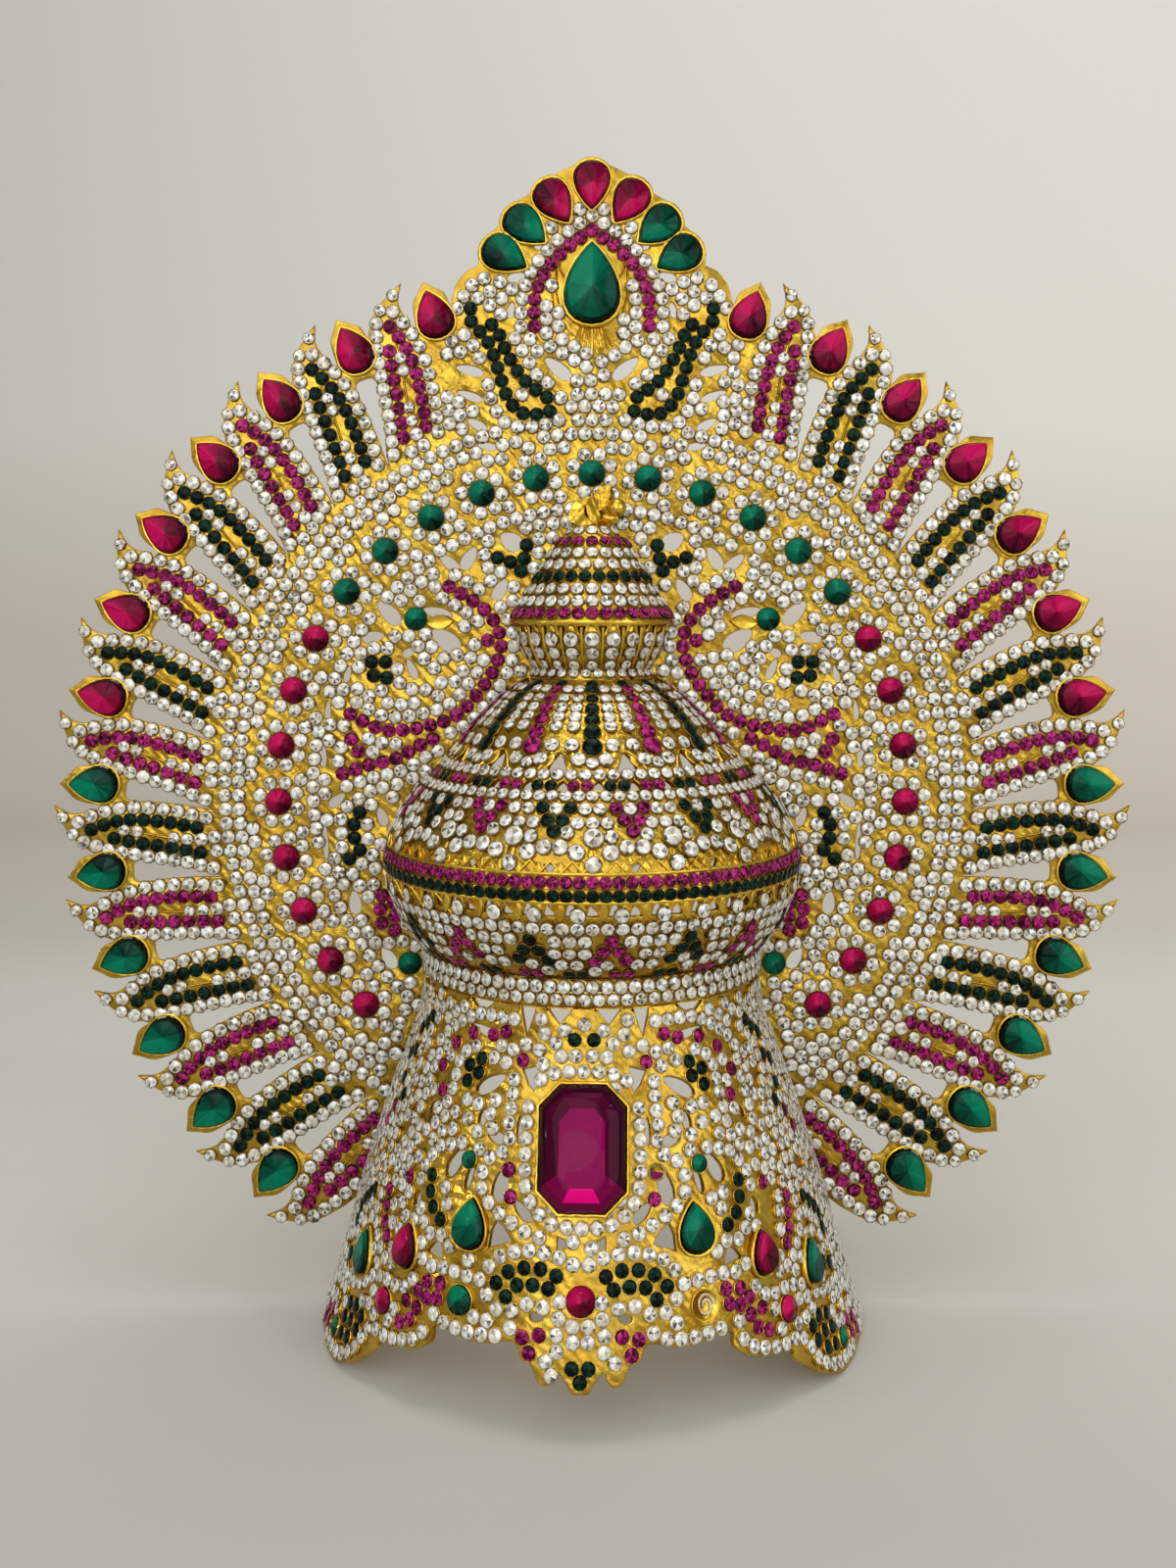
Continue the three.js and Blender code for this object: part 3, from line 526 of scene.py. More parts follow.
class Metal:
    """Where a pierced sheet has metal, so that stones are only set on it."""

    def __init__(self, outlines, across=1.0, step=0.3):
        self.across, self.step = across, step
        starts = np.vstack(outlines)
        ends = np.vstack([np.roll(outline, -1, 0) for outline in outlines])
        self.low = starts.min(0) - 1
        size = np.ceil((starts.max(0) + 1 - self.low) / step).astype(int)
        self.solid = np.zeros(size[::-1], bool)
        for row in range(size[1]):
            v = self.low[1] + (row + 0.5) * step
            crossing = (starts[:, 1] > v) != (ends[:, 1] > v)
            a, b = starts[crossing], ends[crossing]
            us = np.sort(a[:, 0] + (v - a[:, 1]) * (b[:, 0] - a[:, 0]) / (b[:, 1] - a[:, 1]))
            us = (us - self.low[0]) / step
            for left, right in zip(us[::2], us[1::2]):
                self.solid[row, math.ceil(left - 0.5):int(right + 0.5)] = True

    def holds(self, u, v, reach_u, reach_v):
        """Whether there is metal at a place and at eight places round it."""
        for k in range(9):
            a = k * math.pi / 4
            r = 0 if k == 8 else 1
            col = int((((u + r * reach_u * math.cos(a)) * self.across) - self.low[0]) / self.step)
            row = int((v + r * reach_v * math.sin(a) - self.low[1]) / self.step)
            if not (0 <= row < self.solid.shape[0] and 0 <= col < self.solid.shape[1] and self.solid[row, col]):
                return False
        return True


# ---- Setting stones ---------------------------------------------------------------------------
CELL = 4.0  # side of the cubes in which set stones are looked up
WIDEST_STONE = 5  # radius, for the search round a new stone
FILL_GRIP = 0.93  # share of a filled stone's radius that needs metal under it
ROW_GRIP = 0.2  # share of a row's stone that needs metal under it
CHATON_GROW = 1.07  # small stones and their cups nearly touch
LEAN = 0.05  # how unevenly stones sit
taken = {}  # cell -> [(x, y, z, radius)]
laid = {}  # (zone, form, kind) -> [(seat, scale)]
in_zone = {}  # (zone, surface) -> [(u, v, radius)]


def around(p, reach):
    """The stones near a point."""
    cell = [int(c // CELL) for c in p]
    span = range(-int(reach // CELL) - 1, int(reach // CELL) + 2)
    for i in span:
        for j in span:
            for k in span:
                yield from taken.get((cell[0] + i, cell[1] + j, cell[2] + k), ())


def has_room(p, radius, ease):
    return all(
        (p[0] - x) ** 2 + (p[1] - y) ** 2 + (p[2] - z) ** 2 >= (ease * (radius + r)) ** 2
        for x, y, z, r in around(p, WIDEST_STONE + radius))


def keep_clear(p, radius):
    taken.setdefault(tuple(int(c // CELL) for c in p), []).append((*p, radius))


def turned_seat(seat, lean):
    origin, right, up, out = seat
    a = math.radians(lean)
    return origin, right * math.cos(a) - up * math.sin(a), up * math.cos(a) + right * math.sin(a), out


def tilted_seat(seat, most):
    """A seat leaning a little to one side, as hand-set stones do."""
    origin, right, up, out = seat
    out = out + right * chance.uniform(-most, most) + up * chance.uniform(-most, most)
    out /= np.linalg.norm(out)
    right = np.cross(up, out)
    right /= np.linalg.norm(right)
    return origin, right, np.cross(out, right), out


def small_stone(surface):
    """Diameter and pitch of the small stones on a surface."""
    return (HALO_CHATON, HALO_PITCH) if surface == "halo" else (CHATON, PITCH)


def lay(zone, surface, kind, u, v, size=None, ease=0.92, form="chaton"):
    """Sets one round stone, unless another is in its way."""
    seat = SEATS[surface](u, v)
    size = size or small_stone(surface)[0]
    if not has_room(seat[0], size / 2, ease):
        return False
    keep_clear(seat[0], size / 2)
    spin = chance.uniform(0, 360) if form == "chaton" else 0
    seat_of_own = tilted_seat(turned_seat(seat, spin), LEAN)
    laid.setdefault((zone, form, kind), []).append((seat_of_own, (size / 2,) * 3))
    in_zone.setdefault((zone, surface), []).append((u, v, size / 2))
    return True


def lay_drop(zone, surface, kind, u, v, size, lean):
    """Sets one drop and keeps two rounds of room for it: a wide one at its foot, a small one at its point."""
    width, long, high = size
    seat = turned_seat(SEATS[surface](u, v), lean)
    laid.setdefault((zone, "drop", kind), []).append((seat, (width / 2, long / 2, high)))
    for along, radius in ((-0.2, 0.58), (0.22, 0.40)):
        keep_clear(seat[0] + seat[2] * along * long / 2 * 1.4, radius * width * 0.92)


def spaced(surface, path, pitch):
    """Even places along a curve on a surface, ends included."""
    if len(path) == 1:
        return path
    fine = curved(path, steps=12)
    points = np.array([SEATS[surface](u, v)[0] for u, v in fine])
    run = np.concatenate([[0], np.cumsum(np.linalg.norm(np.diff(points, axis=0), axis=1))])
    count = max(1, round(run[-1] / pitch))
    at = np.linspace(0, run[-1], count + 1)
    return np.column_stack([np.interp(at, run, fine[:, 0]), np.interp(at, run, fine[:, 1])])


def lay_row(zone, surface, kind, path, size=None, metal=None, ease=0.92):
    """Sets small stones along a curve, where there is metal."""
    own, pitch = small_stone(surface)
    size = size or own
    for u, v in spaced(surface, path, pitch):
        if metal is None or metal.holds(u, v, *reach_in(surface, u, v, size * ROW_GRIP)):
            lay(zone, surface, kind, u, v, size, ease)


def beside(path, distance):
    """The same curve, moved sideways."""
    fine = curved(path, steps=4)
    way = np.gradient(fine, axis=0)
    way /= np.linalg.norm(way, axis=1)[:, None]
    return (fine + distance * np.column_stack([way[:, 1], -way[:, 0]]))[::2]


def reach_in(surface, u, v, reach):
    """A reach in millimetres as steps of the surface's own coordinates."""
    at = SEATS[surface]
    step = 0.1
    per_u = np.linalg.norm(at(u + step, v)[0] - at(u - step, v)[0]) / (2 * step)
    per_v = np.linalg.norm(at(u, v + step)[0] - at(u, v - step)[0]) / (2 * step)
    return reach / per_u, reach / per_v


def fill(zone, surface, metal, allowed, kind="white", gap=0.1, skip=0.0, ease=0.96):
    """Sets stones closely round those already laid, wherever there is metal."""
    size = small_stone(surface)[0]
    queue = list(in_zone.get((zone, surface), []))
    radius = size / 2
    for u, v, own in queue:  # the queue grows as stones are set
        origin, right, up, _ = SEATS[surface](u, v)
        step_u, step_v = reach_in(surface, u, v, 1.0)
        first = own + radius + gap
        offsets = []
        for x, y, z, r in around(origin, 2 * first):
            away = np.array([x, y, z]) - origin
            a, b = away @ right, away @ up
            d, second = math.hypot(a, b), r + radius + gap
            if 0.1 < d < first + second:
                along = (first**2 - second**2 + d * d) / (2 * d)
                rise = math.sqrt(max(first**2 - along**2, 0))
                offsets += [((a * along - b * rise) / d, (b * along + a * rise) / d),
                            ((a * along + b * rise) / d, (b * along - a * rise) / d)]
        turn = chance.uniform(0, 1)
        offsets += [(first * math.cos(k + turn), first * math.sin(k + turn)) for k in range(6)]
        for a, b in offsets:
            to_u, to_v = u + a * step_u, v + b * step_v
            if not allowed(to_u, to_v) or chance.random() < skip:
                continue
            reach = reach_in(surface, to_u, to_v, radius * FILL_GRIP)
            if metal.holds(to_u, to_v, *reach) and lay(zone, surface, kind, to_u, to_v, size, ease):
                queue.append((to_u, to_v, radius))


# Painted shade: every stone's foot is painted darkest, drawing a dark outline round it against its cup.
FOOT_SHADE = 0.07
OCTAGON_TONES = {  # painted light on the facets; flat step: lower corners, upper corners, foot, top, sides; steep step: foot, top, the others
    "table": 0.47, "flat": [0.36, 0.14, 0.93, 0.2, 0.11], "steep": [0.28, 0.08, 0.04]}


def octagon_tones(rise, middles):
    """Painted light: the table is lit evenly, the steps are painted dark at the sides and bright at the foot."""
    x, y = np.abs(middles[:, 0]), middles[:, 1]
    corner, foot, top = (x > 4) & (np.abs(y) > 6), y < -6, y > 6
    flat, steep = OCTAGON_TONES["flat"], OCTAGON_TONES["steep"]
    flat_step = np.select([corner & (y < 0), corner, foot, top], flat[:-1], flat[-1])
    steep_step = np.select([foot, top], steep[:-1], steep[-1])
    return np.select([rise > 0.998, rise > 0.9], [OCTAGON_TONES["table"], flat_step], steep_step).reshape(1, -1)


def tones(form, count, kind):
    """A painted light for every facet of every stone, standing in for what it reflects: mostly light, a few facets
    dark, the foot darkest as painted shade.
    """
    rise, middles = form["normals"][:, 2], form["middles"]
    faces = len(rise)
    luck = chance.random((count, faces))
    own = chance.uniform(-0.1, 0.1, (count, 1))
    way = np.arctan2(middles[:, 1], middles[:, 0]) + chance.uniform(-0.5, 0.5, (count, 1))
    if kind == "octagon":
        facet_light = octagon_tones(rise, middles)
    elif kind == "white":
        facet_light = 0.62 + own + 0.28 * np.cos(way * 2 + 9 * own) + 0.6 * (luck - 0.5)
        facet_light = np.where(rise < 0.97, 0.60 + own + 0.6 * (luck - 0.5), facet_light)
        facet_light = np.where(luck < 0.06, 0.1, facet_light)  # a few facets painted black, as dark reflections
    elif faces < 40 and form["sizes"].max() < 12:  # small coloured stones
        facet_light = 0.45 + own + 0.9 * (luck - 0.5)
    else:  # drops and rounds, painted as lit from one side, their steep edge painted darker
        facet_light = 0.52 + own + 0.34 * np.cos(way - 2.3) + 0.26 * (luck - 0.5)
        facet_light = np.where(rise < 0.8, facet_light - 0.28, facet_light)
    return np.where(rise < 0.25, FOOT_SHADE, facet_light).ravel()


def joined(name, form, rows, finish, lift=0.0, toned=None, **where):
    """One mesh of many copies of a form, each on its seat."""
    f = FORMS[form]
    blocks, count = [], len(rows)
    grow = CHATON_GROW if form in ("chaton", "cup") else 1.0
    for (origin, right, up, out), size in rows:
        local = f["points"] * np.array(size) * grow
        blocks.append(origin + np.outer(local[:, 0], right) + np.outer(local[:, 1], up)
                      + np.outer(local[:, 2] + lift, out))
    step = np.arange(count)[:, None] * len(f["points"])
    ob = new_mesh(name, np.vstack(blocks), (f["corners"][None, :] + step).ravel(), np.tile(f["sizes"], count))
    if toned:
        # each facet's painted light, standing in for what it reflects
        facet_light = ob.data.attributes.new("facet_light", "FLOAT", "FACE")
        facet_light.data.foreach_set("value", tones(f, count, toned).astype(np.float32))
    return in_frame(ob, finish, **where)


# ---- Sheets -------------------------------------------------------------------------------------
def cut_sheet(name, outlines, wall, rim=0.35):
    """A flat sheet with openings and softly rounded edges, its face on Z = 0: outline first, then openings."""
    edge_rows = ((1.0, 0.0), (0.32, -0.3 * rim), (0.0, -rim), (0.0, rim - wall), (1.0, -wall))
    points, corners, sizes, flat, edges = [], [], [], [], []
    for i, outline in enumerate(outlines):
        p = np.asarray(outline, float)
        q = np.roll(p, -1, 0)
        if (np.sum(p[:, 0] * q[:, 1] - q[:, 0] * p[:, 1]) > 0) != (i == 0):
            p = p[::-1]
        ahead = np.roll(p, -1, 0) - p
        ahead /= np.linalg.norm(ahead, axis=1)[:, None]
        mean = ahead + np.roll(ahead, 1, 0)
        mean /= np.maximum(np.linalg.norm(mean, axis=1), 1e-6)[:, None]
        inward = np.column_stack([-mean[:, 1], mean[:, 0]])
        miter = 1 / np.maximum(np.sum(inward * np.column_stack([-ahead[:, 1], ahead[:, 0]]), axis=1), 0.7)
        inset = inward * rim * miter[:, None]
        n, base = len(p), sum(len(block) for block in points)
        for share, depth in edge_rows:
            points.append(np.column_stack([p + share * inset, np.full(n, depth)]))
        for row in range(len(edge_rows) - 1):
            k = base + row * n + np.arange(n)
            ahead_k = base + row * n + (np.arange(n) + 1) % n
            corners.append(np.column_stack([k, k + n, ahead_k + n, ahead_k]).ravel())
            sizes.append(np.full(n, 4))
        first = len(flat)
        flat += [Vector(xy) for xy in p + inset]
        edges += [(first + j, first + (j + 1) % n) for j in range(n)]
    spots, _, faces, *_ = delaunay_2d_cdt(flat, edges, [], 1, 1e-4)
    spots = np.array([tuple(spot) for spot in spots])
    faces = np.array([face for face in faces])
    starts = np.array([tuple(flat[i]) for i, _ in edges])
    ends = np.array([tuple(flat[j]) for _, j in edges])
    middles = spots[faces].mean(1)
    crossing = (starts[None, :, 1] > middles[:, None, 1]) != (ends[None, :, 1] > middles[:, None, 1])
    rise = np.where(ends[:, 1] == starts[:, 1], 1, ends[:, 1] - starts[:, 1])
    at = starts[None, :, 0] + (middles[:, None, 1] - starts[None, :, 1]) * (ends[:, 0] - starts[:, 0]) / rise
    faces = faces[np.sum(crossing & (at > middles[:, None, 0]), axis=1) % 2 == 1]
    for depth, turn in ((0.0, 1), (-wall, -1)):
        base = sum(len(block) for block in points)
        points.append(np.column_stack([spots, np.full(len(spots), depth)]))
        corners.append((faces[:, ::turn] + base).ravel())
        sizes.append(np.full(len(faces), 3))
    ob = new_mesh(name, np.vstack(points) / MM - SHIFT, np.concatenate(corners), np.concatenate(sizes))
    on_bench(ob, "EDIT")
    bpy.ops.mesh.remove_doubles(threshold=0.002)
    bpy.ops.mesh.normals_make_consistent(inside=False)
    bpy.ops.object.mode_set(mode="OBJECT")
    return ob


def slice_across(ob, axis, places):
    """Adds rows of edges across a sheet, so that it can be bent there."""
    mesh = bmesh.new()
    mesh.from_mesh(ob.data)
    normal = [0, 0, 0]
    normal[axis] = 1
    for place in places:
        spot = [0, 0, 0]
        spot[axis] = place
        bmesh.ops.bisect_plane(mesh, geom=mesh.verts[:] + mesh.edges[:] + mesh.faces[:], dist=0.001,
                               plane_co=spot, plane_no=normal)
    mesh.to_mesh(ob.data)
    mesh.free()


def wrap_sheet(ob, surface, across):
    """Bends a flat sheet round a turned wall; `across` is its millimetres for each degree."""
    over_floor = (-math.inf, -math.inf, 0)
    place_points(ob.data, lambda u, v, w: np.maximum(raised(surface, u / across, v, w), over_floor))


def ribs(name, paths, width, finish=None, **where):
    """Raised gold lines along curves in space."""
    shape = bpy.data.curves.new(name, "CURVE")
    shape.dimensions, shape.use_fill_caps = "3D", True
    shape.bevel_depth, shape.bevel_resolution = width / 2 * MM, 1
    for path in paths:
        spline = shape.splines.new("POLY")
        spline.points.add(len(path) - 1)
        placed = (np.asarray(path) + SHIFT) * MM
        spline.points.foreach_set("co", np.column_stack([placed, np.ones(len(placed))]).ravel())
    on_bench(linked(name, shape))
    bpy.ops.object.convert(target="MESH")
    return in_frame(bpy.context.object, finish or gilt_bright, angle=60, **where)


def on_surface(surface, path, lift=0.0, steps=5):
    """A smooth curve over a surface."""
    return [raised(surface, u, v, lift) for u, v in curved(path, steps=steps)]


# ---- Halo plate -----------------------------------------------------------------------------------
# Lobe, flame and slit: radius and degrees from the flame's drop.
DROP_LOBE = [[(121.5, -2.1), (124.8, -1.85), (127.2, -0.75), (128.9, 0)],
             [(128.9, 0), (127.2, 0.75), (124.4, 1.9), (118.3, 2.6)]]
FLAME_TIP = [[(118.3, 2.6), (122, 3.15), (126.4, 3.3), (130.4, 2.3)],
             [(130.4, 2.3), (129.0, 3.9), (126, 6.3), (121.5, 8.07)]]
SLIT = [(92, 3.8), (95.5, 2.8), (99, 1.7), (106, 0.2), (111.6, -0.6), (113, 0.7), (112.2, 2.0), (105, 2.4), (98, 3)]
LAST_FLAME_FOOT = (118, 8.9)
PLATE_FOOT = 26
SLOT_GAP = 0.42  # between the skirt and the plate's slot for it
ARCH_TOP = [(36, 127), (27, 135.5), (17, 141), (6, 144)]
CREST_DROPS = [  # x, z, lean from the crest's middle, stone
    (0, 270.4, 0, "ruby"), (8.9, 266.3, 34, "ruby"), (15.9, 260.4, 50, "emerald"), (20.9, 253.4, 60, "emerald")]
CREST_LOBE_RADIUS, CREST_LOBE_OUT = 5.5, 1.5
CREST_SHOULDER = [(27.6, 251.2), (30.6, 249.6), (33, 246.4), (33.9, 243)]
BIG_DROP_Z = 246.6
CREST_OPENINGS = [  # x, z, long, wide, lean
    (5.6, 262.4, 3.0, 2.0, 60), (12.2, 256.6, 3.6, 2.4, 40), (18.2, 248.4, 4.2, 2.4, 15),
    (19.6, 240.4, 3.6, 1.8, 80), (8.2, 226.2, 7.4, 3.2, 140), (29.6, 225.8, 6.4, 2.4, 165),
    (29.6, 219.6, 6.0, 2.0, 160), (27.8, 212.6, 5.0, 2.2, 150), (25.4, 207.4, 4.4, 1.8, 170)]
SCROLL_OPENINGS = [
    (34.6, 179.2, 5.4, 2.6, 140), (29.8, 180.2, 5.8, 3.0, 60), (19.6, 184.4, 5.4, 4.2, 150),
    (22.2, 172.6, 5.4, 3.0, 60), (49.2, 167.0, 7.0, 3.6, 135), (53.0, 161.2, 5.0, 2.6, 10),
    (37.4, 167.0, 6.6, 2.6, 165), (35.4, 160.4, 7.6, 4.4, 145), (44.4, 157.4, 3.0, 2.0, 30),
    (43.6, 153.4, 5.0, 2.0, 115), (59.2, 152.2, 3.8, 1.6, 75), (64.0, 143.4, 4.4, 1.4, 85),
    (65.2, 132.6, 5.6, 1.8, 92), (61.8, 121.6, 4.6, 2.2, 40), (64.6, 112.0, 9.0, 1.4, 93),
    (50.8, 117.6, 4.4, 2.4, 110), (57.4, 96.8, 5.4, 3.0, 95), (49.2, 83.4, 5.4, 3.2, 120)]


def halo_edge():
    """The right half of the plate's outline, from the crest's top down to the arch."""
    edge = []
    for x, z, lean, _ in CREST_DROPS:
        first = 0 if lean == 0 else lean - 38
        out = math.radians(lean)
        for a in np.radians(np.linspace(first, lean + 45, 7)):
            edge.append((x + CREST_LOBE_OUT * math.sin(out) + CREST_LOBE_RADIUS * math.sin(a),
                         z + CREST_LOBE_OUT * math.cos(out) + CREST_LOBE_RADIUS * math.cos(a)))
    edge += list(curved(CREST_SHOULDER))
    for k in range(FLAMES):
        drop = FIRST_DROP + k * FLAME_PITCH
        for run in DROP_LOBE + FLAME_TIP:
            edge += list(curved([on_halo(radius, drop + turn) for radius, turn in run]))[:-1]
    edge.append(on_halo(LAST_FLAME_FOOT[0], drop + LAST_FLAME_FOOT[1]))
    slot = [(skirt_radius(z) + SLOT_GAP, z) for z in (PLATE_FOOT, 34, 44, 54, 63, 72)]
    edge += slot + [(39.4, 82.3), (36, 82.3)] + ARCH_TOP
    return edge


def halo_outlines():
    right = halo_edge()
    whole = np.array(right + [(-x, z) for x, z in right[::-1]])
    outlines = [whole[np.linalg.norm(np.roll(whole, -1, 0) - whole, axis=1) > 0.02]]
    for side in (-1, 1):
        for k in range(1, FLAMES):
            drop = FIRST_DROP + k * FLAME_PITCH
            slit = [on_halo(radius, drop + turn, side) for radius, turn in SLIT]
            outlines.append(curved(slit, closed=True, steps=3))
        outlines += [leaf(*row, side) for row in CREST_OPENINGS + SCROLL_OPENINGS]
    return outlines


plate_outlines = halo_outlines()
halo_metal = Metal(plate_outlines)
plate = cut_sheet("halo_sheet", plate_outlines, WALL)
place_points(plate.data, lambda u, v, w: (u, -w, v))
in_frame(plate, gilt_plate, ["halo_plate"], angle=40)

# Rim drops, with the point outwards.
for side in (-1, 1):
    for k in range(FLAMES):
        degrees = FIRST_DROP + k * FLAME_PITCH
        kind = "ruby" if k < RED_RIM_DROPS else "emerald"
        lay_drop("halo", "halo", kind, *on_halo(DROP_RADIUS, degrees, side), DROP, side * degrees)
    for x, z, lean, kind in CREST_DROPS[1:]:
        lay_drop("crest", "halo", kind, side * x, z, DROP, side * lean + 180)
lay_drop("crest", "halo", "ruby", 0, CREST_DROPS[0][1], DROP, 180)
lay_drop("crest", "halo", "emerald", 0, BIG_DROP_Z, BIG_DROP, 0)

# Flames: a row of clear stones inside each edge, a loop of coloured ones within.
UPPER_EDGE = [(93.0, -1.0), (98, -2.0), (104, -2.7), (111, -3.1), (118, -2.7), (126, -1.3)]
LOWER_EDGE = [(93.0, 8.4), (98, 6.9), (104, 5.7), (111, 4.5), (117, 3.5), (122.5, 2.4), (126, 1.3)]
COLOUR_FROM, COLOUR_TO = 96.0, 121.5


def inside_edge(edge, inset, low, high):
    """The part of a flame's edge between two radii, moved inwards by `inset`."""
    sign = 1 if edge is UPPER_EDGE else -1
    rows = np.linspace(low, high, 6)
    turns = np.interp(rows, [r for r, _ in edge], [t for _, t in edge])
    return [(r, t + sign * math.degrees(inset / r)) for r, t in zip(rows, turns)]


def colour_of(k):
    """The colours take turns."""
    return "magenta" if k % 2 == 0 else "bottle"


INNER_SIZE = 2.8  # stones at a flame's tip and in its middle
TIP_STONES = [(128.2, -1.6), (125.6, -1.15), (126.0, 0.3)]  # radius, degrees from the flame's middle
FLAME_RIB = [(97, 2.9), (103, 2.0), (110, 0.9), (117, 0.2)]
slits = []
for side in (-1, 1):
    for k in range(FLAMES):
        middle = FIRST_DROP + k * FLAME_PITCH + DROP_TO_FLAME
        flame_rows = [
            (colour_of(k), inside_edge(UPPER_EDGE, 4.4, COLOUR_FROM, COLOUR_TO), {}),
            (colour_of(k), inside_edge(LOWER_EDGE, 4.75, COLOUR_FROM, COLOUR_TO - 2), {"ease": 0.8}),
            (colour_of(k), [(COLOUR_FROM - 1.3, 3.4)], {"ease": 0.86}),
            ("white", inside_edge(UPPER_EDGE, 1.35, 93.5, 124.5), {"metal": halo_metal, "ease": 0.82}),
            ("white", inside_edge(LOWER_EDGE, 1.75, 93.5, 123.5), {"metal": halo_metal, "ease": 0.8}),
            *(("white", [place], {"size": INNER_SIZE, "ease": 0.84}) for place in TIP_STONES),
            ("white", [(98.6, 2.5), (101.8, 2.1)], {"size": INNER_SIZE, "ease": 0.74}),
            ("white", [(110.4, 0.7), (113.6, 0.35)], {"size": INNER_SIZE, "ease": 0.74})]
        for kind, rows, how in flame_rows:
            lay_row("halo", "halo", kind, [on_halo(radius, middle + turn, side) for radius, turn in rows], **how)
        slits.append(on_surface("halo", [on_halo(radius, middle + turn, side) for radius, turn in FLAME_RIB], 0.1))

# Crest.
CREST_ROWS = [  # kind, then curves on the right half
    ("magenta", [(0, 259.6), (6.0, 255.4), (11.2, 249.7), (13.8, 243.4), (13.9, 236.4)]),
    ("bottle", [(29.2, 237.5), (25, 232.3), (22.3, 224.7), (20.6, 219.5), (17.7, 215.8), (13.8, 215.0),
     (10.2, 215.8)], [(29.4, 240.6), (26.2, 238.3), (22.9, 235.2), (20.7, 230.1), (18.9, 227.0),
     (16.8, 223.8), (14.0, 221.4), (10.9, 219.2)]),
    ("white", [(0, 263), (5.6, 259.4), (10.7, 254.8), (15, 249), (17, 242.6), (17.2, 236.2)],
     [(32.6, 240.6), (32.2, 236.2), (28.2, 230.8), (25.4, 223.4), (24, 217.6), (20.6, 212.8), (14.6, 212),
     (8, 213.6)], [(27.6, 243.2), (23.6, 240.6), (19.8, 236.8), (17.5, 231.6), (15.6, 228.4),
     (13.4, 224.6)], [(13.9, 218.3), (17.0, 219.8)]),
]


def lay_on_plate(zone, kind, path, side):
    lay_row(zone, "halo", kind, [(side * x, z) for x, z in path], metal=halo_metal)


for side in (-1, 1):
    for kind, *paths in CREST_ROWS:
        for path in paths:
            lay_on_plate("crest", kind, path, side)

# Ring: three rows next to the flames, a row inside, and rounds in a circlet of small stones between them.
CIRCLET_RADIUS = 4.85
for radius in (92.0, 88.7, 85.4, 67.4):
    lay_row("ring", "halo", "white", [on_halo(radius, d) for d in range(-150, 151, 6)], metal=halo_metal)
for k in range(RING_ROUNDS):
    degrees = (k - (RING_ROUNDS - 1) / 2) * RING_PITCH
    x, z = on_halo(RING_RADIUS, degrees)
    kind = "emerald" if abs(degrees) < GREEN_RING_ROUNDS / 2 * RING_PITCH else "ruby"
    lay("ring", "halo", kind, x, z, ROUND, form="round")
    for a in range(8):
        turn = math.radians(degrees + 22.5 + 45 * a)
        lay("ring", "halo", "white", x + CIRCLET_RADIUS * math.sin(turn), z + CIRCLET_RADIUS * math.cos(turn))

# Scrolls between the ring and the tower.
SCROLL_ROWS = [  # kind, then curves on the right half
    ("magenta", [(34.6, 173.4), (29.4, 170.4), (24.4, 166.2), (22, 160), (23.6, 153.6), (28.4, 146.6),
     (34.0, 141.6), (43.5, 139), (51.1, 139), (58.4, 142.6)], [(35.4, 138.0), (41.4, 135.2), (47.3, 131.9),
     (53.6, 130.4), (60.3, 128.2)], [(25.7, 163.6), (25.2, 160.4)], [(58.2, 136.6), (56.5, 133.6)]),
    ("bottle", [(53.3, 155.2), (49.9, 155.2)], [(52.8, 151.9), (49.6, 151.4)], [(22.8, 180.4),
     (19.6, 179.3), (17.2, 177.2)], [(15.8, 183.4), (16.4, 180.2)], [(56.1, 118.8), (57.6, 115.9),
     (57.5, 112.8), (56, 110.0), (58.6, 107.6)]),
    ("magenta", [(50.7, 98.8), (51.2, 95.5), (50.8, 92.1)], [(47.9, 97.0), (47.6, 93.7), (47.7, 90.4)]),
]
SCROLL_ROUNDS = [(42.6, 165.6), (44.0, 82.4)]
SCROLL_STEM = [(26.1, 156.3), (31, 156.4), (37.6, 158.6), (42, 159)]
for side in (-1, 1):
    for x, z in SCROLL_ROUNDS:
        lay("scrolls", "halo", "emerald", side * x, z, 5.4, form="round")
    for kind, *paths in SCROLL_ROWS:
        for path in paths:
            lay_on_plate("scrolls", kind, path, side)
    for path in SCROLL_ROWS[0][1:3]:
        for distance in (-3.2, 3.2):
            lay_row("scrolls", "halo", "white", beside([(side * x, z) for x, z in path], distance), metal=halo_metal)
    lay_on_plate("scrolls", "white", SCROLL_STEM, side)


def beside_tower(x, z):
    """Clear of the tower and the skirt that stand against the plate."""
    if z > 82:
        return z > 189 or abs(x) > tower_radius(z) + 1.7
    return abs(x) > skirt_radius(z) + 1.9


def halo_radius(x, z):
    return math.hypot(x, z - HALO_Z)


def on_crest(x, z):
    """On the crest, clear of its big drop and of the bare fluted gold under it."""
    at_drop = math.hypot(x / 9.6, (z - 246.4) / 12.4) <= 1 or math.hypot(x / 6, (z - 235) / 5) <= 1
    return halo_radius(x, z) > 84 and abs(x) < 36 and z > 208 and not at_drop


fill("ring", "halo", halo_metal, lambda x, z: 58 < halo_radius(x, z) < 97 and beside_tower(x, z))
fill("crest", "halo", halo_metal, on_crest)
fill("scrolls", "halo", halo_metal, lambda x, z: halo_radius(x, z) < 66 and beside_tower(x, z), skip=0.05)
fill("halo", "halo", halo_metal, lambda x, z: halo_radius(x, z) > 122)
fill("ring", "halo", halo_metal, lambda x, z: 92 < halo_radius(x, z) < 102, gap=0.0, ease=0.84)

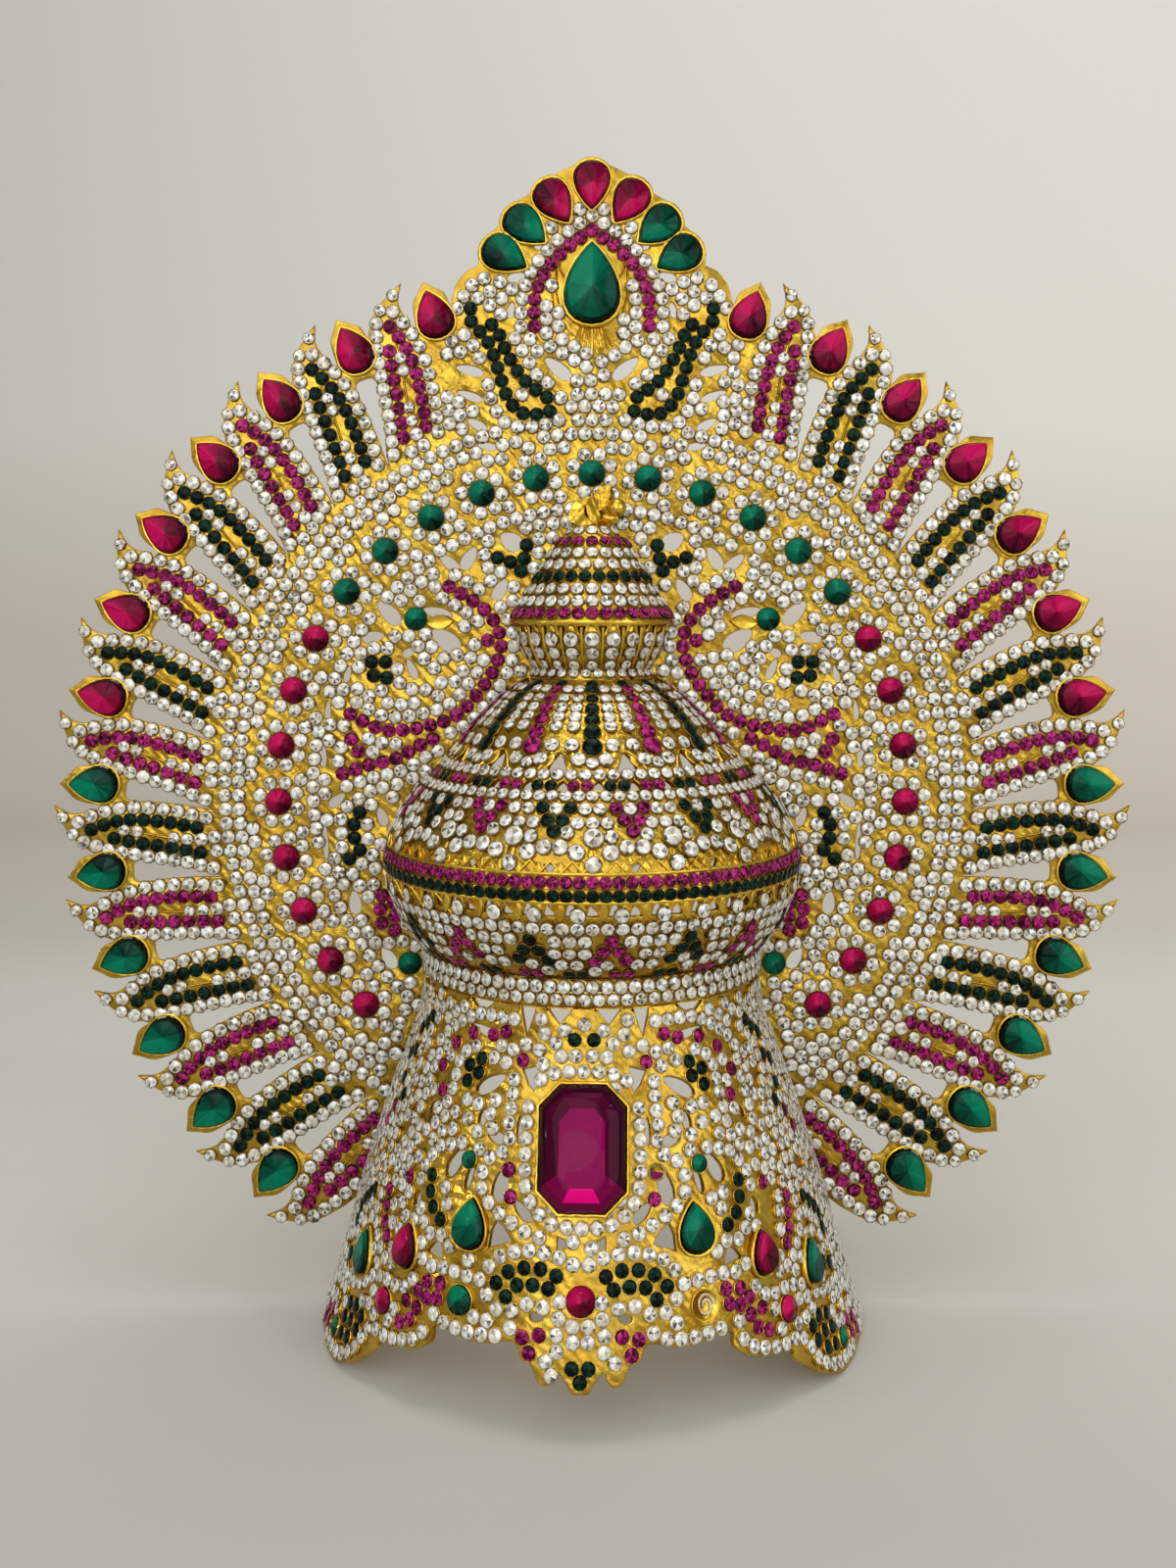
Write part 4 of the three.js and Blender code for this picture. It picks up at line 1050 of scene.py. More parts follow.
# ---- Tower -----------------------------------------------------------------------------------------
TIER_HALF = 89.2  # degrees from the front to a tier's back edge
STONES_HALF = 87  # and to the last stones
WEDGE_DOWN = [(0, -1), (0.8, 0.5), (1, 1), (0, 1), (-1, 1), (-0.8, 0.5)]
WEDGE_UP = [(-1, -1), (0, -1), (1, -1), (0.55, 0.3), (0, 1), (-0.55, 0.3)]
TIER_OPENINGS = [  # tier, count, pitch and first in degrees, height, wide in degrees, high, shape
    ("tower_neck", 9, 16, -72, 162.4, 6, 3.0, WEDGE_DOWN),
    ("tower_cone", 6, 26.5, -66.25, 134.2, 8.4, 4.6, WEDGE_UP),
    ("tower_cone", 13, 12.3, -71.65, 129.7, 4.6, 1.8, WEDGE_UP),
    ("belly_lower", 29, 5.4, -75.6, 105.0, 2.8, 3.0, WEDGE_UP),
    ("belly_upper", 15, 10.8, -75.6, 113.3, 3.0, 2.0, WEDGE_DOWN)]


def tier_sheet(name):
    """A half-round tier, pierced and wrapped."""
    profile = TIERS[name]
    across = math.radians(sum(radius for radius, _ in profile) / len(profile))
    top, foot = profile[0][1] + 0.2, profile[-1][1] - 0.2
    half = TIER_HALF * across
    outlines = [np.array([(-half, foot), (half, foot), (half, top), (-half, top)])]
    for tier, count, pitch, start, z, wide, high, shape in TIER_OPENINGS:
        for k in range(count if tier == name else 0):
            middle = start + k * pitch
            outlines.append(np.array([((middle + u * wide / 2) * across, z + v * high / 2) for u, v in shape]))
    wall = 1.8 if name == "collar" else 1.4
    sheet = cut_sheet(name + "_sheet", outlines, wall, 0.25)
    slice_across(sheet, 0, np.arange(-87, 88, 3) * across)
    slice_across(sheet, 1, [z for _, z in profile[1:-1]])
    wrap_sheet(sheet, name, across)
    in_frame(sheet, gilt, [name], angle=35)
    return Metal(outlines, across)


def dome_shell():
    """The closed dome, spun from its profile and cut off at the plate."""
    outer = curved(TIERS["tower_dome"], steps=3)
    outer[0, 0] = 0
    inner = outer - np.column_stack([np.minimum(outer[:, 0], 1.2), np.where(outer[:, 0] < 6, 1.4, 0.3)])
    inner[-1, 1] = outer[-1, 1]
    loop = np.vstack([outer, inner[::-1]])
    points = np.column_stack([loop[:, 0], np.zeros(len(loop)), loop[:, 1]])
    mesh = bpy.data.meshes.new("dome_profile")
    mesh.from_pydata(points.tolist(), [(i, i + 1) for i in range(len(points) - 1)], [])
    on_bench(linked("dome_profile", mesh), "EDIT")
    bpy.ops.mesh.spin(steps=64, angle=2 * math.pi, center=(0, 0, 0), axis=(0, 0, 1))
    bpy.ops.mesh.select_all(action="SELECT")
    bpy.ops.mesh.remove_doubles(threshold=0.001)
    bpy.ops.mesh.normals_make_consistent(inside=False)
    bpy.ops.mesh.select_all(action="SELECT")
    bpy.ops.mesh.bisect(plane_co=(0, -0.3, 0), plane_no=(0, 1, 0), use_fill=True, clear_outer=True)
    dome = read_form()
    in_frame(new_mesh("dome_shell", dome["points"], dome["corners"], dome["sizes"]), gilt, ["tower_dome"], angle=35)


dome_shell()
tier_metal = {name: tier_sheet(name) for name in TIERS if name != "tower_dome"}


def round_row(tier, kind, z, size, pitch, offset=0.0):
    """A closed row of stones round a tier."""
    radius = np.linalg.norm(raised(tier, 0, z)[:2])
    count = int(2 * STONES_HALF * math.radians(radius) / pitch)
    for turn in np.linspace(-STONES_HALF, STONES_HALF, count + 1):
        lay("tower", tier, kind, turn + offset, z, size, 0.9)


DOME_ROWS = [  # height, kind, size
    (186.5, "white", 2.7), (183.9, "magenta", 2.8), (181.1, "white", 2.9), (178.3, "white", 2.9),
    (175.4, "bottle", 3.0), (172.5, "white", 3.0), (169.6, "white", 3.0), (166.9, "magenta", 3.0)]
for z, kind, size in DOME_ROWS:
    round_row("tower_dome", kind, z, size, size * 1.05)
round_row("tower_neck", "white", 152.9, 2.3, 2.7)
for k in range(-5, 6):
    for z, size in ((161.0, 3.5), (157.9, 3.1), (155.1, 2.5)):
        lay("tower", "tower_neck", "white", 16 * k, z, size)
for k in range(-3, 4):
    lay("tower", "tower_cone", "bottle", 24 * k, 150.4, 2.6)

CONE_COLUMN = 8.5  # degrees between the cone's columns of stones
CONE_WHITES = [(149.3 - 1.95 * k, 2.6 + 0.11 * k) for k in range(8)]
CONE_COLOURS = [(149.2, 2.7), (147.3, 2.8), (145.2, 3.1), (142.9, 3.4), (140.3, 3.8), (137.2, 4.4)]
for c in range(-10, 11):
    kind = {0: "bottle", 3: "magenta"}.get(c % 6, "white")
    for z, size in CONE_WHITES if kind == "white" else CONE_COLOURS:
        lay("tower", "tower_cone", kind, c * CONE_COLUMN, z, size, 0.8)
    if kind != "white":
        lay("tower", "tower_cone", "white", c * CONE_COLUMN, 133.9, 2.9)
        for aside in (-5.2, 5.2):
            lay("tower", "tower_cone", "white", c * CONE_COLUMN + aside, 134.6, 3.4, 0.86)
round_row("tower_cone", "white", 131.6, 2.8, 3.0)
PAIR_PITCH = 12.3
for k in range(-7, 8):
    for aside in (-2.3, 2.3):
        lay("tower", "tower_cone", colour_of(k), -4 + PAIR_PITCH * k + aside, 129.4, 2.7, 0.86)

HEART_PITCH = 21.5
UPPER_HEART = [  # degrees, height, coloured
    (-4.1, 125.2, 1), (4.1, 125.2, 1), (0, 125.0, 0), (-2.1, 122.8, 1), (2.1, 122.8, 1), (0, 120.7, 1)]
LOWER_HEART = [(0, 98.2, 1), (-2.1, 95.8, 1), (2.1, 95.8, 1), (-4.3, 93.5, 1), (4.3, 93.5, 1)]
HEART_GAP = [  # degrees, height, size
    (0, 119.4, 4.3), (-4.4, 116.6, 3.6), (4.4, 116.6, 3.6), (0, 114.3, 3.5), (-8.6, 117.6, 3.4), (8.6, 117.6, 3.4)]


def lay_inside(tier, kind, turn, z, size, ease):
    """A stone on a tier, left out where it would pass the tier's edge."""
    if abs(turn) < STONES_HALF:
        lay("tower", tier, kind, turn, z, size, ease)


def lay_heart(tier, heart, middle, k):
    for turn, z, coloured in heart:
        lay_inside(tier, colour_of(k + 1) if coloured else "white", middle + turn, z, 3.0, 0.8)


round_row("belly_upper", "white", 127.5, 2.7, 2.85)
for k in range(-4, 5):
    middle = -10.5 + HEART_PITCH * k
    lay_heart("belly_upper", UPPER_HEART, middle, k)
    for turn, z, size in HEART_GAP:
        lay_inside("belly_upper", "white", middle + HEART_PITCH / 2 + turn, z, size, 0.88)
round_row("belly_upper", "magenta", 110.7, 2.7, 2.72)
round_row("belly_lower", "bottle", 108.0, 2.7, 2.72)
for z in (125.0, 122.3):
    round_row("belly_upper", "white", z, 2.9, 3.1)
fill("tower", "belly_upper", tier_metal["belly_upper"], lambda u, z: abs(u) < STONES_HALF and 118 < z < 127)

for k in range(-8, 9):
    lay("tower", "belly_lower", "white", -3.6 + 10.8 * k, 103.9, 3.3)
for k in range(-4, 5):
    lay_heart("belly_lower", LOWER_HEART, -16.5 + HEART_PITCH * k, k)
for k in range(-6, 7):
    for aside in (-2.1, 2.1):
        lay("tower", "belly_lower", colour_of(k + 1), -4.8 + 13.6 * k + aside, 90.0, 2.6, 0.84)
for i, z in enumerate((101.0, 98.1, 95.3, 92.5)):
    round_row("belly_lower", "white", z, 3.0, 3.15, offset=2.0 * (i % 2))
fill("tower", "belly_lower", tier_metal["belly_lower"], lambda u, z: abs(u) < STONES_HALF and 91 < z < 103.4)
round_row("collar", "white", 86.7, 2.9, 3.0)
round_row("collar", "white", 84.0, 2.7, 3.0, offset=2)


def ring_rib(tier, z):
    return [raised(tier, turn, z, 0.1) for turn in range(-89, 90, 3)]


def zigzag(tier, low, high, pitch, offset):
    """A line that goes up and down round a tier."""
    turns = np.arange(-86, 86, pitch / 2)
    return [raised(tier, turn + offset, high if i % 2 else low) + SEATS[tier](turn, low)[3] * 0.15
            for i, turn in enumerate(turns)]


TEETH = [  # tier, height, long, wide, pitch and first in degrees, lean
    ("belly_lower", 104.6, 5.2, 2.3, 5.4, -78.3, 180), ("belly_lower", 100.0, 4.4, 2.0, 10.8, -78.3, 180),
    ("belly_upper", 113.4, 3.8, 2.3, 5.4, -78.3, 0), ("belly_upper", 116.6, 5.4, 2.2, 21.5, -86, 0),
    ("tower_cone", 134.8, 4.8, 3.0, 8.5, -85.0, 0), ("tower_neck", 162.4, 4.6, 2.2, 16, -80, 180)]
teeth = []
for tier, z, long, wide, pitch, first, lean in TEETH:
    for turn in np.arange(first, STONES_HALF, pitch):
        seat = turned_seat(SEATS[tier](turn, z), lean + chance.uniform(-6, 6))
        teeth.append((tilted_seat(seat, 0.12), (wide / 2, long / 2, 0.55)))
joined("tower_teeth", "petal", teeth, gilt_bright, lift=-0.1)
ribs("tower_lip", [ring_rib("tower_dome", 164.9)], 1.3)
fine_ribs = [ring_rib("belly_upper", 112.4), ring_rib("belly_lower", 106.5), ring_rib("collar", 85.4)]
fine_ribs += [zigzag("belly_upper", 112.6, 115.0, 5.4, 2.7), zigzag("belly_lower", 101.6, 106.2, 10.8, 4.6)]
for turn in range(-88, 89, 16):
    fine_ribs.append(on_surface("tower_neck", [(turn, 163.8), (turn, 159), (turn, 154)], 0.2))
CONE_ARCH = [(-7, 132.6), (-4.4, 134.8), (0, 136.4), (4.4, 134.8), (7, 132.6)]  # degrees, height
for k in range(-3, 3):
    fine_ribs.append(on_surface("tower_cone", [(26.5 * (k + 0.5) + turn, z) for turn, z in CONE_ARCH], 0.1))
ribs("tower_ribs", fine_ribs, 0.8)

# ---- Skirt --------------------------------------------------------------------------------------------
HEM = [  # degrees from the pattern's middle, height
    (1.6, 10.2), (4.4, 14), (5.6, 11.8), (8, 11.6), (10, 15), (12, 15.6), (14, 18.6), (21, 17.2),
    (31.6, 18.2), (32.4, 15.2), (37, 12.2), (47, 10.6), (47.8, 8.6), (55, 3), (63, 0)]
SKIRT_LEAVES = [  # turn, z, long, wide, lean
    (34, 75.2, 7.6, 1.9, 170), (28.2, 65.2, 7.2, 3.0, 30), (28.8, 58.6, 3.4, 1.9, 90), (17.2, 57.4, 4.8, 1.1, 95),
    (23.6, 55.4, 3.8, 2.2, 170), (34.6, 49, 6.4, 3.2, 60), (29.4, 47.4, 5.4, 1.6, 80), (20.4, 46.8, 6.6, 3.4, 80),
    (14.2, 42.4, 4.8, 2.2, 140), (44.6, 39.6, 3.2, 2.2, 90), (9.2, 23.4, 2.6, 1.5, 0), (47.5, 57.8, 2.4, 1.4, 60)]
SKIRT_WEDGES = [  # turn, z, wide, high, lean, shape
    (7.8, 80.2, 5.4, 3.4, 0, WEDGE_DOWN), (18.4, 78.6, 3.4, 6.0, 0, WEDGE_DOWN),
    (36.2, 80.4, 7.0, 2.6, 0, WEDGE_DOWN), (15.2, 67.2, 3.8, 4.6, 165, WEDGE_UP),
    (19.6, 37.9, 5.2, 4.4, -20, WEDGE_UP), (4.2, 37, 2.6, 2.2, 90, WEDGE_UP), (35, 32.2, 4.8, 3.2, 10, WEDGE_UP)]
ACROSS = math.radians(50)  # the skirt's flat millimetres for each degree


def skirt_outlines():
    hem = [(SKIRT_TURN + turn, z) for turn, z in curved(HEM, steps=3)]
    back = [(90 + math.degrees(math.asin(BACK_REACH / skirt_radius(z))), z) for z in (0, 12, 34, 54, 72, 82)]
    left_back = [(-turn, z) for turn, z in back[::-1]]
    left_hem = [(2 * SKIRT_TURN - turn, z) for turn, z in hem[::-1]]
    outlines = [np.array(hem + back + left_back + left_hem) * (ACROSS, 1)]
    for side in (-1, 1):
        holes = [(turn, z, leaf(0, 0, long, wide, lean, side)) for turn, z, long, wide, lean in SKIRT_LEAVES]
        for turn, z, wide, high, lean, shape in SKIRT_WEDGES:
            c, s = math.cos(math.radians(lean)), math.sin(math.radians(lean))
            corners = np.array(shape) * (wide / 2, high / 2) @ np.array([[c, s], [-s, c]])
            holes.append((turn, z, corners * (side, 1)))
        for turn, z, shape in holes:
            stretch = ACROSS / math.radians(skirt_radius(z))
            outlines.append(shape * (stretch, 1) + ((SKIRT_TURN + side * turn) * ACROSS, z))
    return outlines


outlines = skirt_outlines()
skirt_metal = Metal(outlines, ACROSS)
skirt = cut_sheet("skirt_sheet", outlines, WALL)
slice_across(skirt, 0, np.arange(-102, 103, 3) * ACROSS)
slice_across(skirt, 1, (72, 54, 34, 12))
wrap_sheet(skirt, "head_skirt", ACROSS)
in_frame(skirt, gilt_smooth, ["head_skirt"], angle=40)


def on_skirt(path, side):
    return [(SKIRT_TURN + side * turn, z) for turn, z in path]


OCTAGON_Z = 54.8
OCTAGON_RADIUS = 47  # the skirt's, at the octagon
SKIRT_DROPS = [  # kind, turn, z, size, lean
    ("emerald", 26.5, 38.6, (7.6, 9.8, 3.0), 0), ("ruby", 43.5, 30.8, (6.6, 9.0, 3.0), 0),
    ("emerald", 60, 24, (6.6, 9.4, 2.6), 8)]
SKIRT_ROUNDS = [("ruby", 48, 18.2, 5.4), ("emerald", 66, 5.6, 4.4)]
for side in (-1, 1):
    for kind, turn, z, size, lean in SKIRT_DROPS:
        lay_drop("skirt", "head_skirt", kind, SKIRT_TURN + side * turn, z, size, side * lean)
    for kind, turn, z, size in SKIRT_ROUNDS:
        lay("skirt", "head_skirt", kind, SKIRT_TURN + side * turn, z, size, form="round")
    lay("skirt", "head_skirt", "emerald", SKIRT_TURN + side * 30, 50.2, 3.7, form="round")
# The hem's green round has a twin on the other side, whose cup is empty. The chipped stone's twin is whole.
HEM_CUP_TURN, HEM_CUP_Z = 26.5, 24.2
EMPTY_CUP = SEATS["head_skirt"](SKIRT_TURN + HEM_CUP_TURN, HEM_CUP_Z)
CHIPPED_TURN, CHIPPED_Z = 18.5, 49.8
CHIPPED_CUP = SEATS["head_skirt"](SKIRT_TURN + CHIPPED_TURN, CHIPPED_Z)
lay("skirt", "head_skirt", "ruby", SKIRT_TURN, 26.8, 6.0, form="round")
lay("skirt", "head_skirt", "emerald", SKIRT_TURN - HEM_CUP_TURN, HEM_CUP_Z, 5.8, form="round")
keep_clear(EMPTY_CUP[0], 3.4)
for u in (-5.2, 0, 5.2):
    for v in (-10, -5, 0, 5, 10):
        if abs(u) < 5 or abs(v) < 10:
            turn, z = SKIRT_TURN + math.degrees(u / OCTAGON_RADIUS), OCTAGON_Z + v * 0.98
            keep_clear(raised("head_skirt", turn, z, 0), 3.7)

SKIRT_ROWS = [  # kind, then curves on one half: degrees from the pattern's middle, height
    ("bottle", [(2.9, 75.5)]),
    ("magenta", [(18.5, 70.6)], [(17.2, 44.8)], [(25, 76), (29.5, 74.9)], [(37.4, 74.4)], [(44.2, 71.4)],
     [(47.5, 66.2)], [(44.6, 61.6)]),
    ("bottle", [(32.4, 69.6), (32.5, 66.8)], [(36.4, 67.9), (36.0, 64.8)], [(40.6, 45.3), (39.8, 41.9),
     (37.8, 39.3), (35, 37.7), (31.6, 36.9)]),
    ("magenta", [(48.6, 43.1)], [(56.2, 38.4), (55.2, 35.2), (54.2, 32.4), (52, 30)]),
    ("bottle", [(18.4, 28.8), (15.8, 31.2), (12, 32.3), (8.4, 32.3), (5.3, 31.3)], [(16, 26.6),
     (13.6, 29.0), (10, 29.3), (6.9, 28.9)]),
    ("magenta", [(35.6, 25.6), (32.0, 26.2)], [(37.6, 23.4), (34.4, 22.6), (32.3, 23.3)], [(40.6, 20.7),
     (37.2, 20.2)], [(38.6, 17.5), (41.3, 16.2)], [(11.8, 19.7), (8.4, 20.4)], [(10.2, 17.0)]),
    ("bottle", [(1.6, 14.8)], [(55, 12.4), (58.2, 13.4), (61.4, 12.6)], [(55.6, 9.4), (59, 10),
     (62.4, 9.4)], [(58.5, 6.8), (61.8, 6.2)]),
    ("magenta", [(70.5, 7.2), (74.5, 6.2)], [(71.5, 4.2), (75.6, 3.4)]),
    ("bottle", [(64, 36.2), (67.6, 33.6), (70.6, 30.6), (71, 27)], [(66, 21.4), (69.6, 20)], [(61, 74.6),
     (65, 72), (69.4, 69.6), (66, 66.6), (70.4, 64.4)], [(68.6, 59.4), (64.4, 56.6)]),
    ("magenta", [(68.4, 53.4), (71, 49.4)]),
    ("white", [(0, 69.2), (5.5, 69.0), (10.4, 68.2), (13.8, 66.0), (15.0, 63.0), (15.0, 59.8), (14.7, 54.5),
     (14.0, 48.3), (12.4, 44.6), (9.5, 42.0), (6, 40.4), (0, 40.0)], [(20.3, 66.8), (20, 62.5), (20, 58.5),
     (20.5, 55.7), (20.8, 52.9)], [(24, 51.4), (25.5, 48.3), (25, 45.4), (22.5, 43), (19.5, 41.5), (16, 40),
     (13, 38.8), (9.5, 38.0)], [(25, 62.3), (26, 59.5), (24.6, 57)], [(13.5, 79.4), (12.2, 76.5),
     (8.5, 74.5), (7, 72.0), (2.5, 72.2)], [(22, 72.5), (18, 74.0), (13.5, 73.0), (13.8, 70)], [(6, 77.4),
     (2.6, 78.9), (0, 78.6)], [(22.5, 78.8), (32.5, 78.9), (36.5, 78.5), (41.5, 76.8), (45.5, 75.2),
     (49.5, 73)], [(28, 70.3), (32.5, 72.2), (37, 71.2), (40.5, 69.3), (40.5, 66.5), (40.8, 63.5),
     (39.5, 61.2), (34.5, 61.3), (30.5, 61)], [(33, 53), (37, 52), (41, 50.5), (42.5, 47.8), (44, 44.5),
     (44, 42), (42.5, 39.5), (40.3, 36.6), (37.5, 34.8), (34.5, 33.8), (31, 33.5)], [(35.3, 43.9),
     (34, 41.0)], [(37.5, 58.3), (33.5, 58), (29, 55.8)], [(22.3, 28.8), (32.5, 29.2), (36, 28.3), (39, 26),
     (41, 23.6), (44, 22.3), (49.5, 22.3), (55.5, 20.5), (60, 17.4), (66, 16.4), (74, 16)], [(20.4, 31.6),
     (18, 33.8), (15, 34.9), (11.5, 35.5), (8, 35.3), (4.5, 34.6), (1.7, 33.5)], [(4.2, 29.6), (4.4, 24.4),
     (4.8, 21), (4.7, 17.6)], [(20.3, 26.3), (17.5, 24), (14, 24.2), (11, 25.8), (7.8, 25.5)],
     [(17.5, 19.3), (20.5, 19), (25, 18.9), (30, 19.3), (33.3, 17.6), (35.6, 15.2), (38.4, 13.7),
     (44, 12.4), (49.6, 12.2), (52.2, 9.9), (54, 6.7), (57, 4.2), (61, 2.7), (67, 2.4), (80, 2.4),
     (92, 2.4)], [(59.5, 36.5), (59.5, 33.5), (57.5, 30), (55, 28.5), (53, 27), (50.5, 26), (47.5, 25.8)],
     [(52, 36.5), (51, 33.5), (49.5, 29.8)], [(6.8, 15.8), (5.6, 13.4)], [(1.6, 22.3), (1.5, 19.5)]),
]
for side in (-1, 1):
    for kind, *paths in SKIRT_ROWS:
        metal = skirt_metal if kind == "white" else None
        for path in paths:
            lay_row("skirt", "head_skirt", kind, on_skirt(path, side), metal=metal, ease=0.88)
lay_row("skirt", "head_skirt", "bottle", [(SKIRT_TURN, 12.4)])
lay("skirt", "head_skirt", "magenta", SKIRT_TURN - CHIPPED_TURN, CHIPPED_Z, 3.2)
keep_clear(CHIPPED_CUP[0], 1.6)
SKIRT_FILLS = [  # degrees from the pattern's middle, heights, share left bare
    ((50, 180), (2.3, 80.2), 0), ((36, 52), (46, 80.2), 0.4), ((-1, 50), (14, 30), 0.6), ((-1, 52), (14, 80.2), 0.85)]
for (near, far), (low, high), skip in SKIRT_FILLS:
    fill("skirt", "head_skirt", skirt_metal, skip=skip,
         allowed=lambda u, z: near < abs(u - SKIRT_TURN) < far and low < z < high and abs(u) < 96)

# ---- Build what has been laid -------------------------------------------------------------------
CUPS = {"chaton": "cup", "round": "round_cup", "drop": "drop_cup"}
STANDS_FOR = {
    "halo_ruby_drops": [f"rim_drop_{s}_{k}" for s in ("left", "right") for k in range(1, 8)],
    "halo_emerald_drops": [f"rim_drop_{s}_{k}" for s in ("left", "right") for k in range(8, 14)],
    "crest_ruby_drops": ["crest_drop_top", "crest_drop_upper_left", "crest_drop_upper_right"],
    "crest_emerald_drops": [
        "crest_big_drop", *(f"crest_drop_{w}_{s}" for w in ("middle", "lower") for s in ("left", "right"))],
    "skirt_emerald_drops": ["skirt_drop_green_left", "skirt_drop_green_right"],
    "skirt_ruby_drops": ["skirt_drop_red_left", "skirt_drop_red_right"],
    "skirt_ruby_rounds": ["hem_round"],
}
for (zone, form, kind), rows in laid.items():
    name = f"{zone}_{kind}_{form}s"
    joined(name, form, rows, FINISHES[kind], lift=SEAT_RISE if form == "drop" else 0.05, toned=kind,
           slot=SLOTS.get(kind), nodes=STANDS_FOR.get(name, ()))


def round_drop(seat, size):
    """A drop's cup is wider than its stone by its wall."""
    width, long, high = size
    grow = (width + DROP_WALL) / (DROP_CUP_GROW * width)
    return seat, (width * grow, long * grow, high)


for form, cup in CUPS.items():
    for zone in sorted({zone for zone, f, _ in laid if f == form}):
        rows = [row for (z, f, _), group in laid.items() if f == form and z == zone for row in group]
        if form == "drop":
            rows = [round_drop(*row) for row in rows]
        joined(f"{zone}_{form}_cups", cup, rows, gilt_bright if form == "drop" or zone == "skirt" else gilt_shadow)
ribs("flame_slits", slits, 0.7)
# ---- Small gold work ------------------------------------------------------------------------------
SCROLL_LEAF_X, SCROLL_LEAF_Z, SCROLL_LEAF_LEAN, SCROLL_LEAF_SIZE = 36.8, 164.8, 96, (1.9, 3.7, 1.2)
leaves = [(turned_seat(halo_at(side * SCROLL_LEAF_X, SCROLL_LEAF_Z), side * SCROLL_LEAF_LEAN), SCROLL_LEAF_SIZE)
          for side in (-1, 1)]
joined("scroll_leaves", "petal", leaves, gilt_bright, angle=30)


def free_seat(*place):
    """A seat in the air, facing the front."""
    return (np.array(place), *FLAT_AXES)


FINIAL_LEAVES = [  # x, y, z, long, wide, lean
    (-1.6, -1.6, 191.4, 10.4, 6.6, -122), (2.8, -1.8, 194.6, 7.0, 5.2, 30), (2.6, -1.4, 190.6, 8.6, 5.2, 108),
    (0.4, -2.6, 191.8, 7.2, 3.4, -10)]
leaves = [(tilted_seat(turned_seat(free_seat(x, y, z), lean), 0.35), (wide / 2, long / 2, 1.8))
          for x, y, z, long, wide, lean in FINIAL_LEAVES]
joined("finial_leaves", "crumple", leaves, gilt_bright, angle=50, nodes=["tower_finial"])
ribs("finial_stub", [[(0, 0, 187.6), (0.4, -1.4, 189.4), (0.6, -2.2, 191.4)]], 2.2)
joined("finial_ball", "ball", [(free_seat(6.0, -3.0, 192.3), (2.3, 2.3, 2.3))], gilt_bright, angle=60)

flutes = []
for k in range(-4, 5):
    path = [(k * 0.55, 237.4), (k * 0.95, 233.4), (k * 1.25, 229.4 + 0.5 * abs(k))]
    flutes.append(on_surface("halo", path, 0.15))
for side in (-1, 1):
    for out, top, foot in ((8.5, 250.4, 239.0), (9.3, 248.0, 236.8), (7.6, 252.6, 248.0)):
        path = [(side * out, top), (side * out * 1.02, (top + foot) / 2), (side * out * 0.86, foot)]
        flutes.append(on_surface("halo", path, 0.1))
ribs("crest_flutes", flutes, 0.7)

# Half of one stone beside the octagon has broken away, down to its foil.
seat = turned_seat(CHIPPED_CUP, 188)
joined("chipped_half", "half_chaton", [(seat, (1.6, 1.6, 1.6))], FINISHES["magenta"], lift=0.1, toned="white",
       slot="magenta_glass")
joined("chipped_foil", "round_cup", [(seat, (1.5, 1.5, 1.2))], FINISHES["white"], toned="white", slot=None)
joined("chipped_cup", "round_cup", [(seat, (1.75, 1.75, 1.75))], gilt_smooth)
# The hem's empty cup still holds a curl of dried glue.
HEM_CUP_RADIUS = 67  # the skirt's, at this cup
glue = Finish("dried_glue")
glue_colour = glue.ramp(glue.noise(glue.place(), 800.0), (0.35, (0.50, 0.36, 0.16)), (0.65, (0.78, 0.70, 0.55)))
glue.shade(Base_Color=glue_colour, Roughness=0.45)
curl = [(SKIRT_TURN + HEM_CUP_TURN + math.degrees(r * math.cos(a) / HEM_CUP_RADIUS), HEM_CUP_Z + r * math.sin(a))
        for r, a in zip(np.linspace(2.3, 0.7, 22), np.linspace(0, 10, 22))]
joined("empty_hem_cup", "round_cup", [(EMPTY_CUP, (2.9, 2.9, 2.9))], gilt_bright)
ribs("hem_glue", [on_surface("head_skirt", curl, 0.65, steps=1)], 0.55, glue.material, slot=None)

octagon_seat = [(SEATS["head_skirt"](SKIRT_TURN, OCTAGON_Z), (1, 1, 1))]
joined("octagon_gem", "octagon", octagon_seat, FINISHES["pink"], lift=0.8, toned="octagon", slot="magenta_glass",
       nodes=["octagon_stone"])
joined("octagon_setting", "octagon_cup", octagon_seat, gilt_bright, lift=-0.4)

# ---- Stage, light and camera ----------------------------------------------------------------------
PAPER_SHADING = [  # share of the way up, colour; painted shadow in front of and under the crown and painted shade in the bend where the floor turns up, paler behind the crown and higher on the wall
    (0.03, (0.49, 0.48, 0.435)), (0.15, (0.60, 0.58, 0.535)), (0.32, (0.615, 0.60, 0.55)),
    (0.42, (0.58, 0.55, 0.49)), (0.53, (0.49, 0.445, 0.38)), (0.67, (0.645, 0.595, 0.525)),
    (0.76, (0.715, 0.695, 0.64)), (0.96, (0.685, 0.66, 0.62))]
WALL_Y, WALL_TOP, BEND, HALF_WIDE = 0.6, 3.6, 0.15, 4.0  # metres


